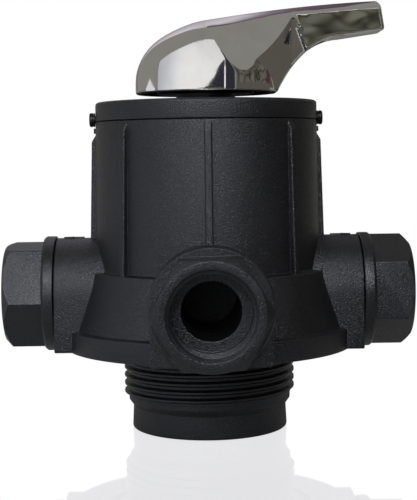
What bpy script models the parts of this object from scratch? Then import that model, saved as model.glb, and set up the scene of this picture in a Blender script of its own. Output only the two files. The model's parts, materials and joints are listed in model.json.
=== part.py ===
"""Manual multiport filter valve: moulded body, ceramic disc works, three port adapters and a lever handle.

The valve axis is vertical. The front port points along -Y and the lever rests along +X.
"""
import math

import bmesh
import bpy
from mathutils import Matrix, Vector

MM = 0.001

# Valve axis: set back so that the origin is the middle of the assembly's base
AXIS_Y = 12.1

# Shared
GAP = 0.3
THROUGH = 1.0
ROUND_STEPS = 32
SMALL_STEPS = 24
HOLE_STEPS = 16
SEAL_SIDES = 6
SHARP_ANGLE = math.radians(34)
MERGE = 1e-5

# Body: barrel, flared skirt and band
BARREL_RADIUS_TOP = 46.3
BARREL_RADIUS_FOOT = 47.15
SHOULDER_Z = 128.9
COLLAR_TOP_Z = 133.0
COLLAR_RADIUS = 43.0
SKIRT_TOP_Z = 67.2
SKIRT_TOP_RADIUS = 50.9
SKIRT_FOOT_RADIUS = 58.1
BAND_RADIUS = 60.7
BAND_TOP_Z = 43.4
BAND_FOOT_Z = 34.8
EDGE = 0.4

# Body: works chamber and water ways
CHAMBER_RADIUS = 38.0
CHAMBER_FLOOR_Z = 84.0
CENTRE_WAY_RADIUS = 9.0
CENTRE_WAY_FOOT_Z = 34.0
WAY_RADIUS = 7.0
WAY_OFFSET = 23.5
PORT_Z = 57.2
PORT_WAY_RADIUS = 11.3
PORT_WAY_END = 15.5
DROP_FOOT_Z = 54.0
TANK_WAY_FOOT_Z = 25.0

# Body: tank neck
THREAD_CREST = 36.0
THREAD_ROOT = 34.4
THREAD_PITCH = 3.4
THREAD_TURNS = 6
THREAD_TOP_Z = 32.6
RUNOUT_RADIUS = 34.2
RUNOUT_FOOT_Z = 12.2
NOSE_TOP_Z = 9.6
NOSE_TOP_RADIUS = 32.35
NOSE_FOOT_RADIUS = 32.85
NOSE_EDGE = 0.9
ANNULUS_RADIUS = 29.0
ANNULUS_TOP_Z = 26.0
RISER_TUBE_RADIUS = 18.5
RISER_TUBE_FOOT_Z = 1.5
RISER_RADIUS = 13.6
RISER_POCKET_RADIUS = 16.0
RISER_POCKET_TOP_Z = 8.0

# Body: ribs
RIB_COUNT = 8
RIB_WIDTH = 2.95
RIB_ROOT_RADIUS = 44.0
RIB_FOOT = (49.9, 61.0)
RIB_HEAD = (48.0, 124.7)
RIB_CREST = (46.1, 128.5)
SIDE_RIB_HEAD = (48.1, 120.8)
SIDE_RIB_CREST = (46.1, 124.1)
TAB_SIZE = (3.5, 5.0, 1.1)
TAB_OUTER = 47.5
TAB_FOOT_Z = 125.6

# Port bosses, adapters and their sockets
BOSS_RADIUS = 23.3
BOSS_FOOT_Z = 34.9
BOSS_ROOT = 38.0
BOSS_END = 63.4
SOCKET_RADIUS = 17.3
SOCKET_END = 49.4
ARROW_SPAN = (52.0, 61.0)
ARROW_WIDTH = 2.5
ARROW_HEIGHT = 0.5
PORT_COLLAR_RADIUS = 24.1
PORT_COLLAR_END = 68.5
PORT_END = 84.9
HEX_RADIUS = 23.1
HEX_CHAMFER_START = 81.6
HEX_FACE_RADIUS = 19.8
HEX_SLEEVE_RADIUS = 30.0
PORT_MOUTH_RADIUS = 17.1
PORT_THREAD_RADIUS = 15.35
PORT_THREAD_END = 69.9
PORT_BORE_RADIUS = 11.2
SPIGOT_RADIUS = 17.0
SPIGOT_END = 50.0
SPIGOT_GROOVE = (54.0, 56.4)
SPIGOT_GROOVE_RADIUS = 14.9
SPIGOT_SEAL_RADIUS = 16.1
PORTS = (("left", 180.0, 25.0), ("right", 0.0, -3.8), ("front", -90.0, 31.4))

# Top cover, plate and lock screws
COVER_TOP_Z = 137.0
COVER_EDGE = 1.3
ROUND_CUT = 1.0 - math.sqrt(0.5)
COVER_FOOT_Z = 129.2
COVER_SKIRT_INNER = 43.3
COVER_UNDERSIDE_Z = 133.4
COVER_BORE = 10.0
PLATE_INNER = 14.3
PLATE_OUTER = 41.7
PLATE_FOOT_Z = 136.2
PLATE_TOP_Z = 136.9
PLATE_WINDOW_RADIUS = 1.6
PLATE_WINDOW_OFFSET = 36.0
LOCK_SCREW_Z = 129.95
LOCK_SCREW_HEAD_RADIUS = 2.95
LOCK_SCREW_HEAD = (46.6, 48.9)
LOCK_SCREW_DOME = 1.0
LOCK_SCREW_SHANK_RADIUS = 1.5
LOCK_SCREW_TIP = 41.0
SLOT_WIDTH = 0.9
SLOT_DEPTH = 0.9

# Disc works, from the chamber floor up
GASKET_Z = (84.3, 87.0)
FIXED_DISC_Z = (87.3, 93.3)
MOVING_DISC_Z = (93.6, 100.6)
DISC_RADIUS = 36.0
MOVING_DISC_RADIUS = 34.0
DISC_POCKET_DEPTH = 4.0
CURVED_POCKET_ANGLES = (-16.0, 106.0)
STRAIGHT_POCKET_HALF = 6.0
DRIVE_WIDTH = 8.0
DRIVE_SPAN = (18.0, 29.0)
DRIVE_DEPTH = 2.6
DRIVE_TURNS = (-45.0, 135.0)
STEM_FLANGE_Z = (100.9, 106.9)
STEM_FLANGE_RADIUS = 30.0
STEM_RADIUS = 9.7
STEM_SHOULDER_Z = 137.0
STEM_SQUARE = 12.0
STEM_TOP_Z = 152.0
STEM_GROOVE_RADIUS = 8.0
STEM_GROOVES_Z = (113.0, 120.0)
GROOVE_WIDTH = 2.4
SEAL_RADIUS = 0.85
WASHER_Z = (107.2, 108.7)
WASHER_RADII = (10.0, 22.0)
BONNET_Z = (109.0, 126.0)
BONNET_RADIUS = 37.7
BONNET_SEAL = (36.65, 113.0, 0.75)
BONNET_GROOVE_RADIUS = 35.6
INDEX_Z = (127.0, 130.0)
INDEX_RADIUS = 34.0
INDEX_SLOT_OFFSET = 20.0
INDEX_SLOT_HALF = 2.2
INDEX_SLOT_ANGLES = (90.0, 270.0)
DIMPLE_RADIUS = 1.6
DIMPLE_DEPTH = 1.0
DETENT_OFFSET = 28.0
DETENT_POCKET_RADIUS = 2.8
DETENT_POCKET_FOOT_Z = 112.0
BALL_RADIUS = 2.5
BALL_Z = 124.2
SPRING_RADIUS = 2.0
SPRING_WIRE = 0.35
SPRING_Z = (112.7, 121.0)
SPRING_TURNS = 4
SPRING_STEPS = 10
PIN_RADIUS = 1.9
PIN_Z = (115.0, 129.6)

# Handle
HANDLE_FOOT_Z = 140.2
HUB_RADIUS = 29.5
HUB_SHOULDER_Z = 143.0
HUB_RISE = 27.8
CREST_SLOPE = 0.168
CREST_SAG = 0.00089
CROWN_HUB = 8.3
CROWN_CENTRE_X = 7.0
CROWN_REAR_SPAN = 36.6
CROWN_LEVER = 3.2
CROWN_FRONT_SPAN = 22.0
THROAT_START = (29.6, 140.2)
THROAT_BEND = (40.5, 162.0)
THROAT_END = (56.0, 162.8)
LEVER_TIP = (75.0, 165.2)
LEVER_TIP_TOP = (73.0, 176.6)
TIP_EDGE = 1.0
LEVER_HALF = 10.5
LEVER_UNDERCUT = 0.1
SCOOP_LEVEL_Z = 167.0
SCOOP_CENTRE = (42.0, 65.7)
SCOOP_RADIUS = 53.5
SCOOP_LEAN = (0.25, 0.29)
HUB_STATIONS = 18
FIRST_STATION = 0.35
THROAT_STATIONS = 7
LEVER_STATIONS = 4
SIDE_POINTS = 4
CROWN_POINTS = 6
HANDLE_BORE = 12.7
HANDLE_BOSS_RADIUS = 20.0
HANDLE_WELL_RADIUS = 25.0
HANDLE_WELL_TOP_Z = 150.0
HANDLE_BORE_TOP_Z = 153.2
SET_SCREW_Z = 145.6
SET_SCREW_RADIUS = 2.5
SET_SCREW_SPAN = (13.0, 19.6)
SET_SCREW_SOCKET = 1.5
SET_SCREW_SOCKET_DEPTH = 2.5
COLLAR_Z = (137.3, 152.6)
HANDLE_COLLAR_RADIUS = 12.4

# Neck seals
RISER_SEAL = (14.55, 6.7, 1.1)
RETAINER_RADII = (13.7, 15.7)
RETAINER_Z = (2.0, 5.1)
TANK_SEAL = (42.0, 36.3, 1.3)
TANK_GROOVE_RADII = (40.4, 43.6)
TANK_GROOVE_TOP_Z = 37.9

# Colour, roughness and metallic value of each material family
FINISHES = {
    "body": ((0.020, 0.021, 0.024), 0.46, 0.0),
    "cover": ((0.021, 0.022, 0.025), 0.50, 0.0),
    "adapter": ((0.018, 0.019, 0.022), 0.40, 0.0),
    "chrome": ((0.78, 0.77, 0.75), 0.06, 1.0),
    "steel": ((0.55, 0.55, 0.54), 0.28, 1.0),
    "blackened": ((0.06, 0.06, 0.058), 0.38, 1.0),
    "rubber": ((0.015, 0.015, 0.016), 0.75, 0.0),
    "ceramic": ((0.82, 0.80, 0.75), 0.18, 0.0),
    "acetal": ((0.70, 0.69, 0.64), 0.38, 0.0),
    "plate": ((0.05, 0.055, 0.065), 0.35, 0.0),
}


def collection(name):
    made = bpy.data.collections.new(name)
    bpy.context.scene.collection.children.link(made)
    return made


for leftover in list(bpy.data.objects):
    bpy.data.objects.remove(leftover, do_unlink=True)

PARTS = collection("multiport_valve")
TOOLS = collection("multiport_valve_cutters")
AXIS = bpy.data.objects.new("valve_axis", None)
PARTS.objects.link(AXIS)
AXIS.location = (0.0, AXIS_Y * MM, 0.0)


def polar(radius, degrees):
    return radius * math.cos(math.radians(degrees)), radius * math.sin(math.radians(degrees))


def along(axis, turn=0.0):
    """Turn a shape built up +Z so that its height runs along X, Y or Z, then turn it about the valve axis.

    Along X its own x and y become Y and Z, and along Y they become X and Z.
    """
    lying = {
        "X": Matrix(((0, 0, 1, 0), (1, 0, 0, 0), (0, 1, 0, 0), (0, 0, 0, 1))),
        "Y": Matrix(((1, 0, 0, 0), (0, 0, 1, 0), (0, 1, 0, 0), (0, 0, 0, 1))),
        "Z": Matrix.Identity(4),
    }[axis]
    return Matrix.Rotation(math.radians(turn), 4, "Z") @ lying


def add_cylinder(bm, radius, span, axis="Z", centre=(0.0, 0.0), turn=0.0, steps=HOLE_STEPS, spin=0.0):
    low, high = span
    middle = Matrix.Translation(Vector((*centre, (low + high) / 2)) * MM)
    middle = middle @ Matrix.Rotation(math.radians(spin), 4, "Z")
    bmesh.ops.create_cone(
        bm,
        cap_ends=True,
        segments=steps,
        radius1=radius * MM,
        radius2=radius * MM,
        depth=(high - low) * MM,
        matrix=along(axis, turn) @ middle,
    )


def add_block(bm, low, high, turn=0.0):
    """A box between two corners."""
    centre = (Vector(low) + Vector(high)) / 2
    size = Vector(high) - Vector(low)
    scale = Matrix.Diagonal((*(size * MM), 1.0))
    bmesh.ops.create_cube(bm, size=1.0, matrix=along("Z", turn) @ Matrix.Translation(centre * MM) @ scale)


def add_outline(bm, outline, span, axis="Z", turn=0.0):
    """A flat outline drawn out along an axis."""
    low, high = span
    curve = bpy.data.curves.new("outline", "CURVE")
    curve.dimensions = "2D"
    curve.fill_mode = "BOTH"
    curve.extrude = (high - low) / 2 * MM
    line = curve.splines.new("POLY")
    line.points.add(len(outline) - 1)
    line.use_cyclic_u = True
    for spot, (a, b) in zip(line.points, outline):
        spot.co = (a * MM, b * MM, 0.0, 1.0)
    drawn = bpy.data.objects.new("outline", curve)
    TOOLS.objects.link(drawn)
    mesh = bpy.data.meshes.new_from_object(drawn.evaluated_get(bpy.context.evaluated_depsgraph_get()))
    mesh.transform(along(axis, turn) @ Matrix.Translation((0.0, 0.0, (low + high) / 2 * MM)))
    bm.from_mesh(mesh)
    bmesh.ops.remove_doubles(bm, verts=bm.verts, dist=MERGE)
    bpy.data.objects.remove(drawn, do_unlink=True)


def from_bmesh(name, bm, home):
    bmesh.ops.recalc_face_normals(bm, faces=bm.faces)
    mesh = bpy.data.meshes.new(name)
    bm.to_mesh(mesh)
    bm.free()
    made = bpy.data.objects.new(name, mesh)
    home.objects.link(made)
    made.parent = AXIS
    if home is TOOLS:
        made.hide_render = True
        made.display_type = "WIRE"
    return made


def rod(name, radius, span, axis="Z", centre=(0.0, 0.0), turn=0.0, steps=HOLE_STEPS, spin=0.0, home=TOOLS):
    bm = bmesh.new()
    add_cylinder(bm, radius, span, axis, centre, turn, steps, spin)
    return from_bmesh(name, bm, home)


def block(name, low, high, turn=0.0):
    bm = bmesh.new()
    add_block(bm, low, high, turn)
    return from_bmesh(name, bm, TOOLS)


def revolve(name, profile, home=PARTS, steps=ROUND_STEPS, closed=True):
    """Turn a profile about the valve axis. It runs down its outer side, then up its inner side if closed."""
    bm = bmesh.new()
    verts = [bm.verts.new((r * MM, 0.0, z * MM)) for r, z in profile]
    for first, second in zip(verts, verts[1:]):
        bm.edges.new((first, second))
    if closed:
        bm.edges.new((verts[-1], verts[0]))
    made = from_bmesh(name, bm, home)
    screw = made.modifiers.new("turn", "SCREW")
    screw.steps = steps
    screw.render_steps = steps
    screw.use_merge_vertices = True
    screw.merge_threshold = MERGE
    return made


def lay(made, turn):
    """Lay a piece built up the valve axis so that its top points out at an angle about Z."""
    made.rotation_euler = (0.0, math.radians(90), math.radians(turn))
    made.location.z = PORT_Z * MM
    return made


def combine(target, other, operation):
    step = target.modifiers.new(other.name, "BOOLEAN")
    step.operation = operation
    step.solver = "EXACT"
    step.object = other
    return target


def ring(name, radii, levels, steps=ROUND_STEPS, home=PARTS):
    inner, outer = radii
    low, high = levels
    return revolve(name, [(outer, high), (outer, low), (inner, low), (inner, high)], home, steps)


def seal(name, radius, level, section, steps=SMALL_STEPS):
    """A round-section ring, in as many steps as the groove it sits in."""
    turns = [-math.tau * i / SEAL_SIDES for i in range(SEAL_SIDES)]
    profile = [(radius + section * math.cos(a), level + section * math.sin(a)) for a in turns]
    return revolve(name, profile, PARTS, steps)


def body_profile():
    outer = [
        (COLLAR_RADIUS, COLLAR_TOP_Z),
        (COLLAR_RADIUS, SHOULDER_Z),
        (BARREL_RADIUS_TOP, SHOULDER_Z),
        (BARREL_RADIUS_FOOT, SKIRT_TOP_Z + EDGE),
        (SKIRT_TOP_RADIUS - EDGE, SKIRT_TOP_Z + EDGE),
        (SKIRT_TOP_RADIUS, SKIRT_TOP_Z),
        (SKIRT_FOOT_RADIUS, BAND_TOP_Z + EDGE),
        (BAND_RADIUS, BAND_TOP_Z),
        (BAND_RADIUS, BAND_FOOT_Z),
    ]
    thread = [(THREAD_ROOT, BAND_FOOT_Z)]
    for turn in range(THREAD_TURNS):
        crest_z = THREAD_TOP_Z - turn * THREAD_PITCH
        thread.append((THREAD_CREST, crest_z))
        thread.append((THREAD_ROOT, crest_z - THREAD_PITCH / 2))
    neck = [
        (RUNOUT_RADIUS, RUNOUT_FOOT_Z),
        (NOSE_TOP_RADIUS, NOSE_TOP_Z),
        (NOSE_FOOT_RADIUS, NOSE_EDGE),
        (NOSE_FOOT_RADIUS - NOSE_EDGE, 0.0),
    ]
    inner = [
        (ANNULUS_RADIUS, 0.0),
        (ANNULUS_RADIUS, ANNULUS_TOP_Z),
        (RISER_TUBE_RADIUS, ANNULUS_TOP_Z),
        (RISER_TUBE_RADIUS, RISER_TUBE_FOOT_Z),
        (RISER_POCKET_RADIUS, RISER_TUBE_FOOT_Z),
        (RISER_POCKET_RADIUS, RISER_POCKET_TOP_Z),
        (RISER_RADIUS, RISER_POCKET_TOP_Z),
        (RISER_RADIUS, CENTRE_WAY_FOOT_Z),
        (CENTRE_WAY_RADIUS, CENTRE_WAY_FOOT_Z),
        (CENTRE_WAY_RADIUS, CHAMBER_FLOOR_Z),
        (CHAMBER_RADIUS, CHAMBER_FLOOR_Z),
        (CHAMBER_RADIUS, COLLAR_TOP_Z),
    ]
    return outer + thread + neck + inner


def boss_outline(foot=BOSS_FOOT_Z):
    """Round above the port's centre line and straight-sided below it."""
    arc = [polar(BOSS_RADIUS, 180.0 * i / HOLE_STEPS) for i in range(HOLE_STEPS + 1)]
    return [(BOSS_RADIUS, foot)] + [(a, PORT_Z + b) for a, b in arc] + [(-BOSS_RADIUS, foot)]


def rib_outline(head, crest):
    return [(RIB_ROOT_RADIUS, RIB_FOOT[1]), RIB_FOOT, head, crest, (RIB_ROOT_RADIUS, crest[1])]


def port_ways(radius, span, name):
    """One lying hole in each port boss."""
    bm = bmesh.new()
    for _, turn, _ in PORTS:
        add_cylinder(bm, radius, span, "X", (0.0, PORT_Z), turn, SMALL_STEPS)
    return from_bmesh(name, bm, TOOLS)


def build_bosses():
    bm = bmesh.new()
    for _, turn, _ in PORTS:
        add_outline(bm, boss_outline(), (BOSS_ROOT, BOSS_END), "X", turn)
    return from_bmesh("bosses", bm, TOOLS)


def build_ribs():
    bm = bmesh.new()
    for i in range(RIB_COUNT):
        sides = i % (RIB_COUNT // 2) == 0
        outline = rib_outline(SIDE_RIB_HEAD, SIDE_RIB_CREST) if sides else rib_outline(RIB_HEAD, RIB_CREST)
        add_outline(bm, outline, (-RIB_WIDTH / 2, RIB_WIDTH / 2), "Y", 360.0 * i / RIB_COUNT)
    return from_bmesh("ribs", bm, TOOLS)


def build_trim():
    """Screw tabs under the cover and flow arrows on the side bosses."""
    bm = bmesh.new()
    length, width, height = TAB_SIZE
    boss_top = PORT_Z + BOSS_RADIUS
    tail, head = ARROW_SPAN
    arrow = [(tail, -ARROW_WIDTH / 2), (head, 0.0), (tail, ARROW_WIDTH / 2)]
    for turn in (0.0, 180.0):
        corner = (TAB_OUTER - length, -width / 2, TAB_FOOT_Z)
        add_block(bm, corner, (TAB_OUTER, width / 2, TAB_FOOT_Z + height), turn)
        add_outline(bm, arrow, (boss_top - THROUGH, boss_top + ARROW_HEIGHT), "Z", turn)
    return from_bmesh("tabs_and_arrows", bm, TOOLS)


def build_drop_ways():
    """Upright holes from the chamber floor to the ports and to the tank neck."""
    bm = bmesh.new()
    for _, turn, _ in PORTS:
        add_cylinder(bm, WAY_RADIUS, (DROP_FOOT_Z, CHAMBER_FLOOR_Z + THROUGH), "Z", (WAY_OFFSET, 0.0), turn)
    add_cylinder(bm, WAY_RADIUS, (TANK_WAY_FOOT_Z, CHAMBER_FLOOR_Z + THROUGH), "Z", (WAY_OFFSET, 0.0), 90.0)
    return from_bmesh("drop_way_cutter", bm, TOOLS)


def build_body():
    body = revolve("valve_body", body_profile())
    for solid in (build_bosses(), build_ribs(), build_trim()):
        combine(body, solid, "UNION")
    groove_span = (BAND_FOOT_Z - THROUGH, TANK_GROOVE_TOP_Z)
    cutters = (
        port_ways(PORT_WAY_RADIUS, (PORT_WAY_END, BOSS_END + THROUGH), "port_way_cutter"),
        port_ways(SOCKET_RADIUS, (SOCKET_END, BOSS_END + THROUGH), "port_socket_cutter"),
        build_drop_ways(),
        lock_screw_holes("body_screw_holes"),
        ring("tank_groove_cutter", TANK_GROOVE_RADII, groove_span, home=TOOLS),
    )
    for cutter in cutters:
        combine(body, cutter, "DIFFERENCE")


def lock_screw_holes(name):
    bm = bmesh.new()
    for turn in (0.0, 180.0):
        span = (LOCK_SCREW_TIP - GAP, BARREL_RADIUS_TOP + THROUGH)
        add_cylinder(bm, LOCK_SCREW_SHANK_RADIUS + GAP, span, "X", (0.0, LOCK_SCREW_Z), turn)
    return from_bmesh(name, bm, TOOLS)


def build_cover():
    recess = (PLATE_INNER - GAP, PLATE_OUTER + GAP)
    profile = [
        (recess[1], COVER_TOP_Z),
        (BARREL_RADIUS_TOP - COVER_EDGE, COVER_TOP_Z),
        (BARREL_RADIUS_TOP - COVER_EDGE * ROUND_CUT, COVER_TOP_Z - COVER_EDGE * ROUND_CUT),
        (BARREL_RADIUS_TOP, COVER_TOP_Z - COVER_EDGE),
        (BARREL_RADIUS_TOP, COVER_FOOT_Z),
        (COVER_SKIRT_INNER, COVER_FOOT_Z),
        (COVER_SKIRT_INNER, COVER_UNDERSIDE_Z),
        (COVER_BORE, COVER_UNDERSIDE_Z),
        (COVER_BORE, COVER_TOP_Z),
        (recess[0], COVER_TOP_Z),
        (recess[0], PLATE_FOOT_Z - GAP),
        (recess[1], PLATE_FOOT_Z - GAP),
    ]
    cover = revolve("top_cover", profile)
    combine(cover, lock_screw_holes("cover_screw_holes"), "DIFFERENCE")
    plate = ring("dial_plate", (PLATE_INNER, PLATE_OUTER), (PLATE_FOOT_Z, PLATE_TOP_Z))
    windows = bmesh.new()
    for turn in (0.0, -90.0, -180.0):
        span = (PLATE_FOOT_Z - THROUGH, PLATE_TOP_Z + THROUGH)
        add_cylinder(windows, PLATE_WINDOW_RADIUS, span, "Z", (PLATE_WINDOW_OFFSET, 0.0), turn)
    combine(plate, from_bmesh("plate_windows", windows, TOOLS), "DIFFERENCE")


def build_lock_screw(side, turn):
    start, end = LOCK_SCREW_HEAD
    profile = [
        (0.0, end),
        (LOCK_SCREW_HEAD_RADIUS - LOCK_SCREW_DOME, end),
        (LOCK_SCREW_HEAD_RADIUS - LOCK_SCREW_DOME * ROUND_CUT, end - LOCK_SCREW_DOME * ROUND_CUT),
        (LOCK_SCREW_HEAD_RADIUS, end - LOCK_SCREW_DOME),
        (LOCK_SCREW_HEAD_RADIUS, start),
        (LOCK_SCREW_SHANK_RADIUS, start),
        (LOCK_SCREW_SHANK_RADIUS, LOCK_SCREW_TIP + EDGE),
        (LOCK_SCREW_SHANK_RADIUS - EDGE, LOCK_SCREW_TIP),
        (0.0, LOCK_SCREW_TIP),
    ]
    screw = lay(revolve(f"lock_screw_{side}", profile, PARTS, HOLE_STEPS, closed=False), turn)
    screw.location.z = LOCK_SCREW_Z * MM
    half = LOCK_SCREW_HEAD_RADIUS - LOCK_SCREW_DOME
    for name, across, up in (("flat", half, SLOT_WIDTH / 2), ("upright", SLOT_WIDTH / 2, half)):
        low = (end - SLOT_DEPTH, -across, LOCK_SCREW_Z - up)
        high = (end + THROUGH, across, LOCK_SCREW_Z + up)
        slot = block(f"{side}_screw_slot_{name}", low, high, turn)
        combine(screw, slot, "DIFFERENCE")


def build_port(side, turn, facet):
    """Hexagonal female adapter with a spigot in the body's socket."""
    chamfer = PORT_COLLAR_RADIUS - HEX_RADIUS
    profile = [
        (PORT_COLLAR_RADIUS, PORT_COLLAR_END - chamfer),
        (PORT_COLLAR_RADIUS, BOSS_END + GAP),
        (SPIGOT_RADIUS, BOSS_END + GAP),
        (SPIGOT_RADIUS, SPIGOT_GROOVE[1]),
        (SPIGOT_GROOVE_RADIUS, SPIGOT_GROOVE[1]),
        (SPIGOT_GROOVE_RADIUS, SPIGOT_GROOVE[0]),
        (SPIGOT_RADIUS, SPIGOT_GROOVE[0]),
        (SPIGOT_RADIUS, SPIGOT_END),
        (PORT_BORE_RADIUS, SPIGOT_END),
        (PORT_BORE_RADIUS, PORT_THREAD_END),
        (PORT_THREAD_RADIUS, PORT_THREAD_END),
        (PORT_THREAD_RADIUS, PORT_END - PORT_MOUTH_RADIUS + PORT_THREAD_RADIUS),
        (PORT_MOUTH_RADIUS, PORT_END),
        (HEX_FACE_RADIUS, PORT_END),
        (HEX_RADIUS, HEX_CHAMFER_START),
        (HEX_RADIUS, PORT_COLLAR_END),
    ]
    port = lay(revolve(f"port_adapter_{side}", profile, PARTS, SMALL_STEPS), turn)
    span = (PORT_COLLAR_END, PORT_END + THROUGH)
    centre = (0.0, PORT_Z)
    sleeve = rod(f"{side}_hex_sleeve", HEX_SLEEVE_RADIUS, span, "X", centre, turn)
    span = (span[0] - THROUGH, span[1] + THROUGH)
    hexagon = rod(f"{side}_hexagon", HEX_RADIUS, span, "X", centre, turn, steps=6, spin=facet)
    combine(port, combine(sleeve, hexagon, "DIFFERENCE"), "DIFFERENCE")
    level = sum(SPIGOT_GROOVE) / 2
    lay(seal(f"port_oring_{side}", SPIGOT_SEAL_RADIUS, level, SEAL_RADIUS), turn)


def disc_holes(name, levels):
    low, high = levels
    bm = bmesh.new()
    for turn in (0.0, 90.0, 180.0, 270.0):
        add_cylinder(bm, WAY_RADIUS, (low - THROUGH, high + THROUGH), "Z", (WAY_OFFSET, 0.0), turn)
    return from_bmesh(name, bm, TOOLS)


def arc_outline(offset, half, angles, steps):
    """A curved slot of constant width between two angles, with square ends."""
    start, end = angles
    angles = [start + (end - start) * i / steps for i in range(steps + 1)]
    outside = [polar(offset + half, a) for a in angles]
    inside = [polar(offset - half, a) for a in reversed(angles)]
    return outside + inside


def build_discs():
    for name, levels in (("disc_gasket", GASKET_Z), ("fixed_disc", FIXED_DISC_Z)):
        disc = ring(name, (CENTRE_WAY_RADIUS, DISC_RADIUS), levels, SMALL_STEPS)
        combine(disc, disc_holes(f"{name}_holes", levels), "DIFFERENCE")
    low, high = MOVING_DISC_Z
    moving = rod("moving_disc", MOVING_DISC_RADIUS, (low, high), steps=SMALL_STEPS, home=PARTS)
    pockets = bmesh.new()
    curved = arc_outline(WAY_OFFSET, WAY_RADIUS, CURVED_POCKET_ANGLES, HOLE_STEPS // 2)
    add_outline(pockets, curved, (low - THROUGH, low + DISC_POCKET_DEPTH))
    end = WAY_OFFSET + WAY_RADIUS
    half = STRAIGHT_POCKET_HALF
    add_block(pockets, (-end, -half, low - THROUGH), (half, half, low + DISC_POCKET_DEPTH))
    combine(moving, from_bmesh("disc_pockets", pockets, TOOLS), "DIFFERENCE")
    keyways = drive_keys("moving_disc_keyways", GAP, (high - DRIVE_DEPTH - GAP, high + THROUGH))
    combine(moving, keyways, "DIFFERENCE")


def drive_keys(name, extra, levels):
    """Two opposite keys that carry the turn from the stem's flange to the moving disc."""
    start, end = DRIVE_SPAN
    half = DRIVE_WIDTH / 2 + extra
    bm = bmesh.new()
    for turn in DRIVE_TURNS:
        add_block(bm, (start - extra, -half, levels[0]), (end + extra, half, levels[1]), turn)
    return from_bmesh(name, bm, TOOLS)


def square_bar(name, half, levels):
    return block(name, (-half, -half, levels[0]), (half, half, levels[1]))


def build_stem():
    flange_low, flange_high = STEM_FLANGE_Z
    profile = [(0.0, STEM_SHOULDER_Z), (STEM_RADIUS, STEM_SHOULDER_Z)]
    for level in sorted(STEM_GROOVES_Z, reverse=True):
        profile += [
            (STEM_RADIUS, level + GROOVE_WIDTH / 2),
            (STEM_GROOVE_RADIUS, level + GROOVE_WIDTH / 2),
            (STEM_GROOVE_RADIUS, level - GROOVE_WIDTH / 2),
            (STEM_RADIUS, level - GROOVE_WIDTH / 2),
        ]
    profile += [
        (STEM_RADIUS, flange_high),
        (STEM_FLANGE_RADIUS, flange_high),
        (STEM_FLANGE_RADIUS, flange_low),
        (0.0, flange_low),
    ]
    stem = revolve("stem", profile, PARTS, SMALL_STEPS, closed=False)
    square = square_bar("stem_square", STEM_SQUARE / 2, (STEM_SHOULDER_Z - THROUGH, STEM_TOP_Z))
    combine(stem, square, "UNION")
    keys = drive_keys("stem_keys", 0.0, (MOVING_DISC_Z[1] - DRIVE_DEPTH, flange_low + THROUGH))
    combine(stem, keys, "UNION")
    for name, level in zip(("lower", "upper"), STEM_GROOVES_Z):
        section = (COVER_BORE - STEM_GROOVE_RADIUS) / 2 - GAP
        seal(f"stem_oring_{name}", STEM_GROOVE_RADIUS + GAP + section, level, section)
    ring("antifriction_washer", WASHER_RADII, WASHER_Z, SMALL_STEPS)


def build_bonnet():
    low, high = BONNET_Z
    groove_foot = BONNET_SEAL[1] - GROOVE_WIDTH / 2
    groove_top = groove_foot + GROOVE_WIDTH
    profile = [
        (BONNET_RADIUS, high),
        (BONNET_RADIUS, groove_top),
        (BONNET_GROOVE_RADIUS, groove_top),
        (BONNET_GROOVE_RADIUS, groove_foot),
        (BONNET_RADIUS, groove_foot),
        (BONNET_RADIUS, low),
        (COVER_BORE, low),
        (COVER_BORE, high),
    ]
    bonnet = revolve("bonnet", profile)
    holes = bmesh.new()
    pocket = (DETENT_POCKET_FOOT_Z, high + THROUGH)
    for turn in (0.0, 180.0):
        add_cylinder(holes, DETENT_POCKET_RADIUS, pocket, "Z", (DETENT_OFFSET, 0.0), turn)
    pin_place = (0.0, INDEX_SLOT_OFFSET)
    add_cylinder(holes, PIN_RADIUS + GAP, (PIN_Z[0] - GAP, high + THROUGH), "Z", pin_place)
    combine(bonnet, from_bmesh("bonnet_holes", holes, TOOLS), "DIFFERENCE")
    seal("bonnet_oring", *BONNET_SEAL, ROUND_STEPS)
    rod("stop_pin", PIN_RADIUS, PIN_Z, "Z", pin_place, home=PARTS)


def build_index_plate():
    plate = ring("index_plate", (COVER_BORE, INDEX_RADIUS), INDEX_Z, SMALL_STEPS)
    low, high = INDEX_Z
    margin = math.degrees((PIN_RADIUS + GAP) / INDEX_SLOT_OFFSET)
    slot = bmesh.new()
    angles = (INDEX_SLOT_ANGLES[0] - margin, INDEX_SLOT_ANGLES[1] + margin)
    outline = arc_outline(INDEX_SLOT_OFFSET, INDEX_SLOT_HALF, angles, HOLE_STEPS)
    add_outline(slot, outline, (low - THROUGH, high + THROUGH))
    combine(plate, from_bmesh("index_slot", slot, TOOLS), "DIFFERENCE")
    dimples = bmesh.new()
    span = (low - DIMPLE_DEPTH, low + DIMPLE_DEPTH)
    for turn in (0.0, 90.0, 180.0, 270.0):
        add_cylinder(dimples, DIMPLE_RADIUS, span, "Z", (DETENT_OFFSET, 0.0), turn)
    combine(plate, from_bmesh("index_dimples", dimples, TOOLS), "DIFFERENCE")


def build_detent_ball(side, sign):
    ball = bmesh.new()
    around = HOLE_STEPS
    bmesh.ops.create_uvsphere(ball, u_segments=around, v_segments=around // 2, radius=BALL_RADIUS * MM)
    made = from_bmesh(f"detent_ball_{side}", ball, PARTS)
    made.location = Vector((sign * DETENT_OFFSET, 0.0, BALL_Z)) * MM


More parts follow.
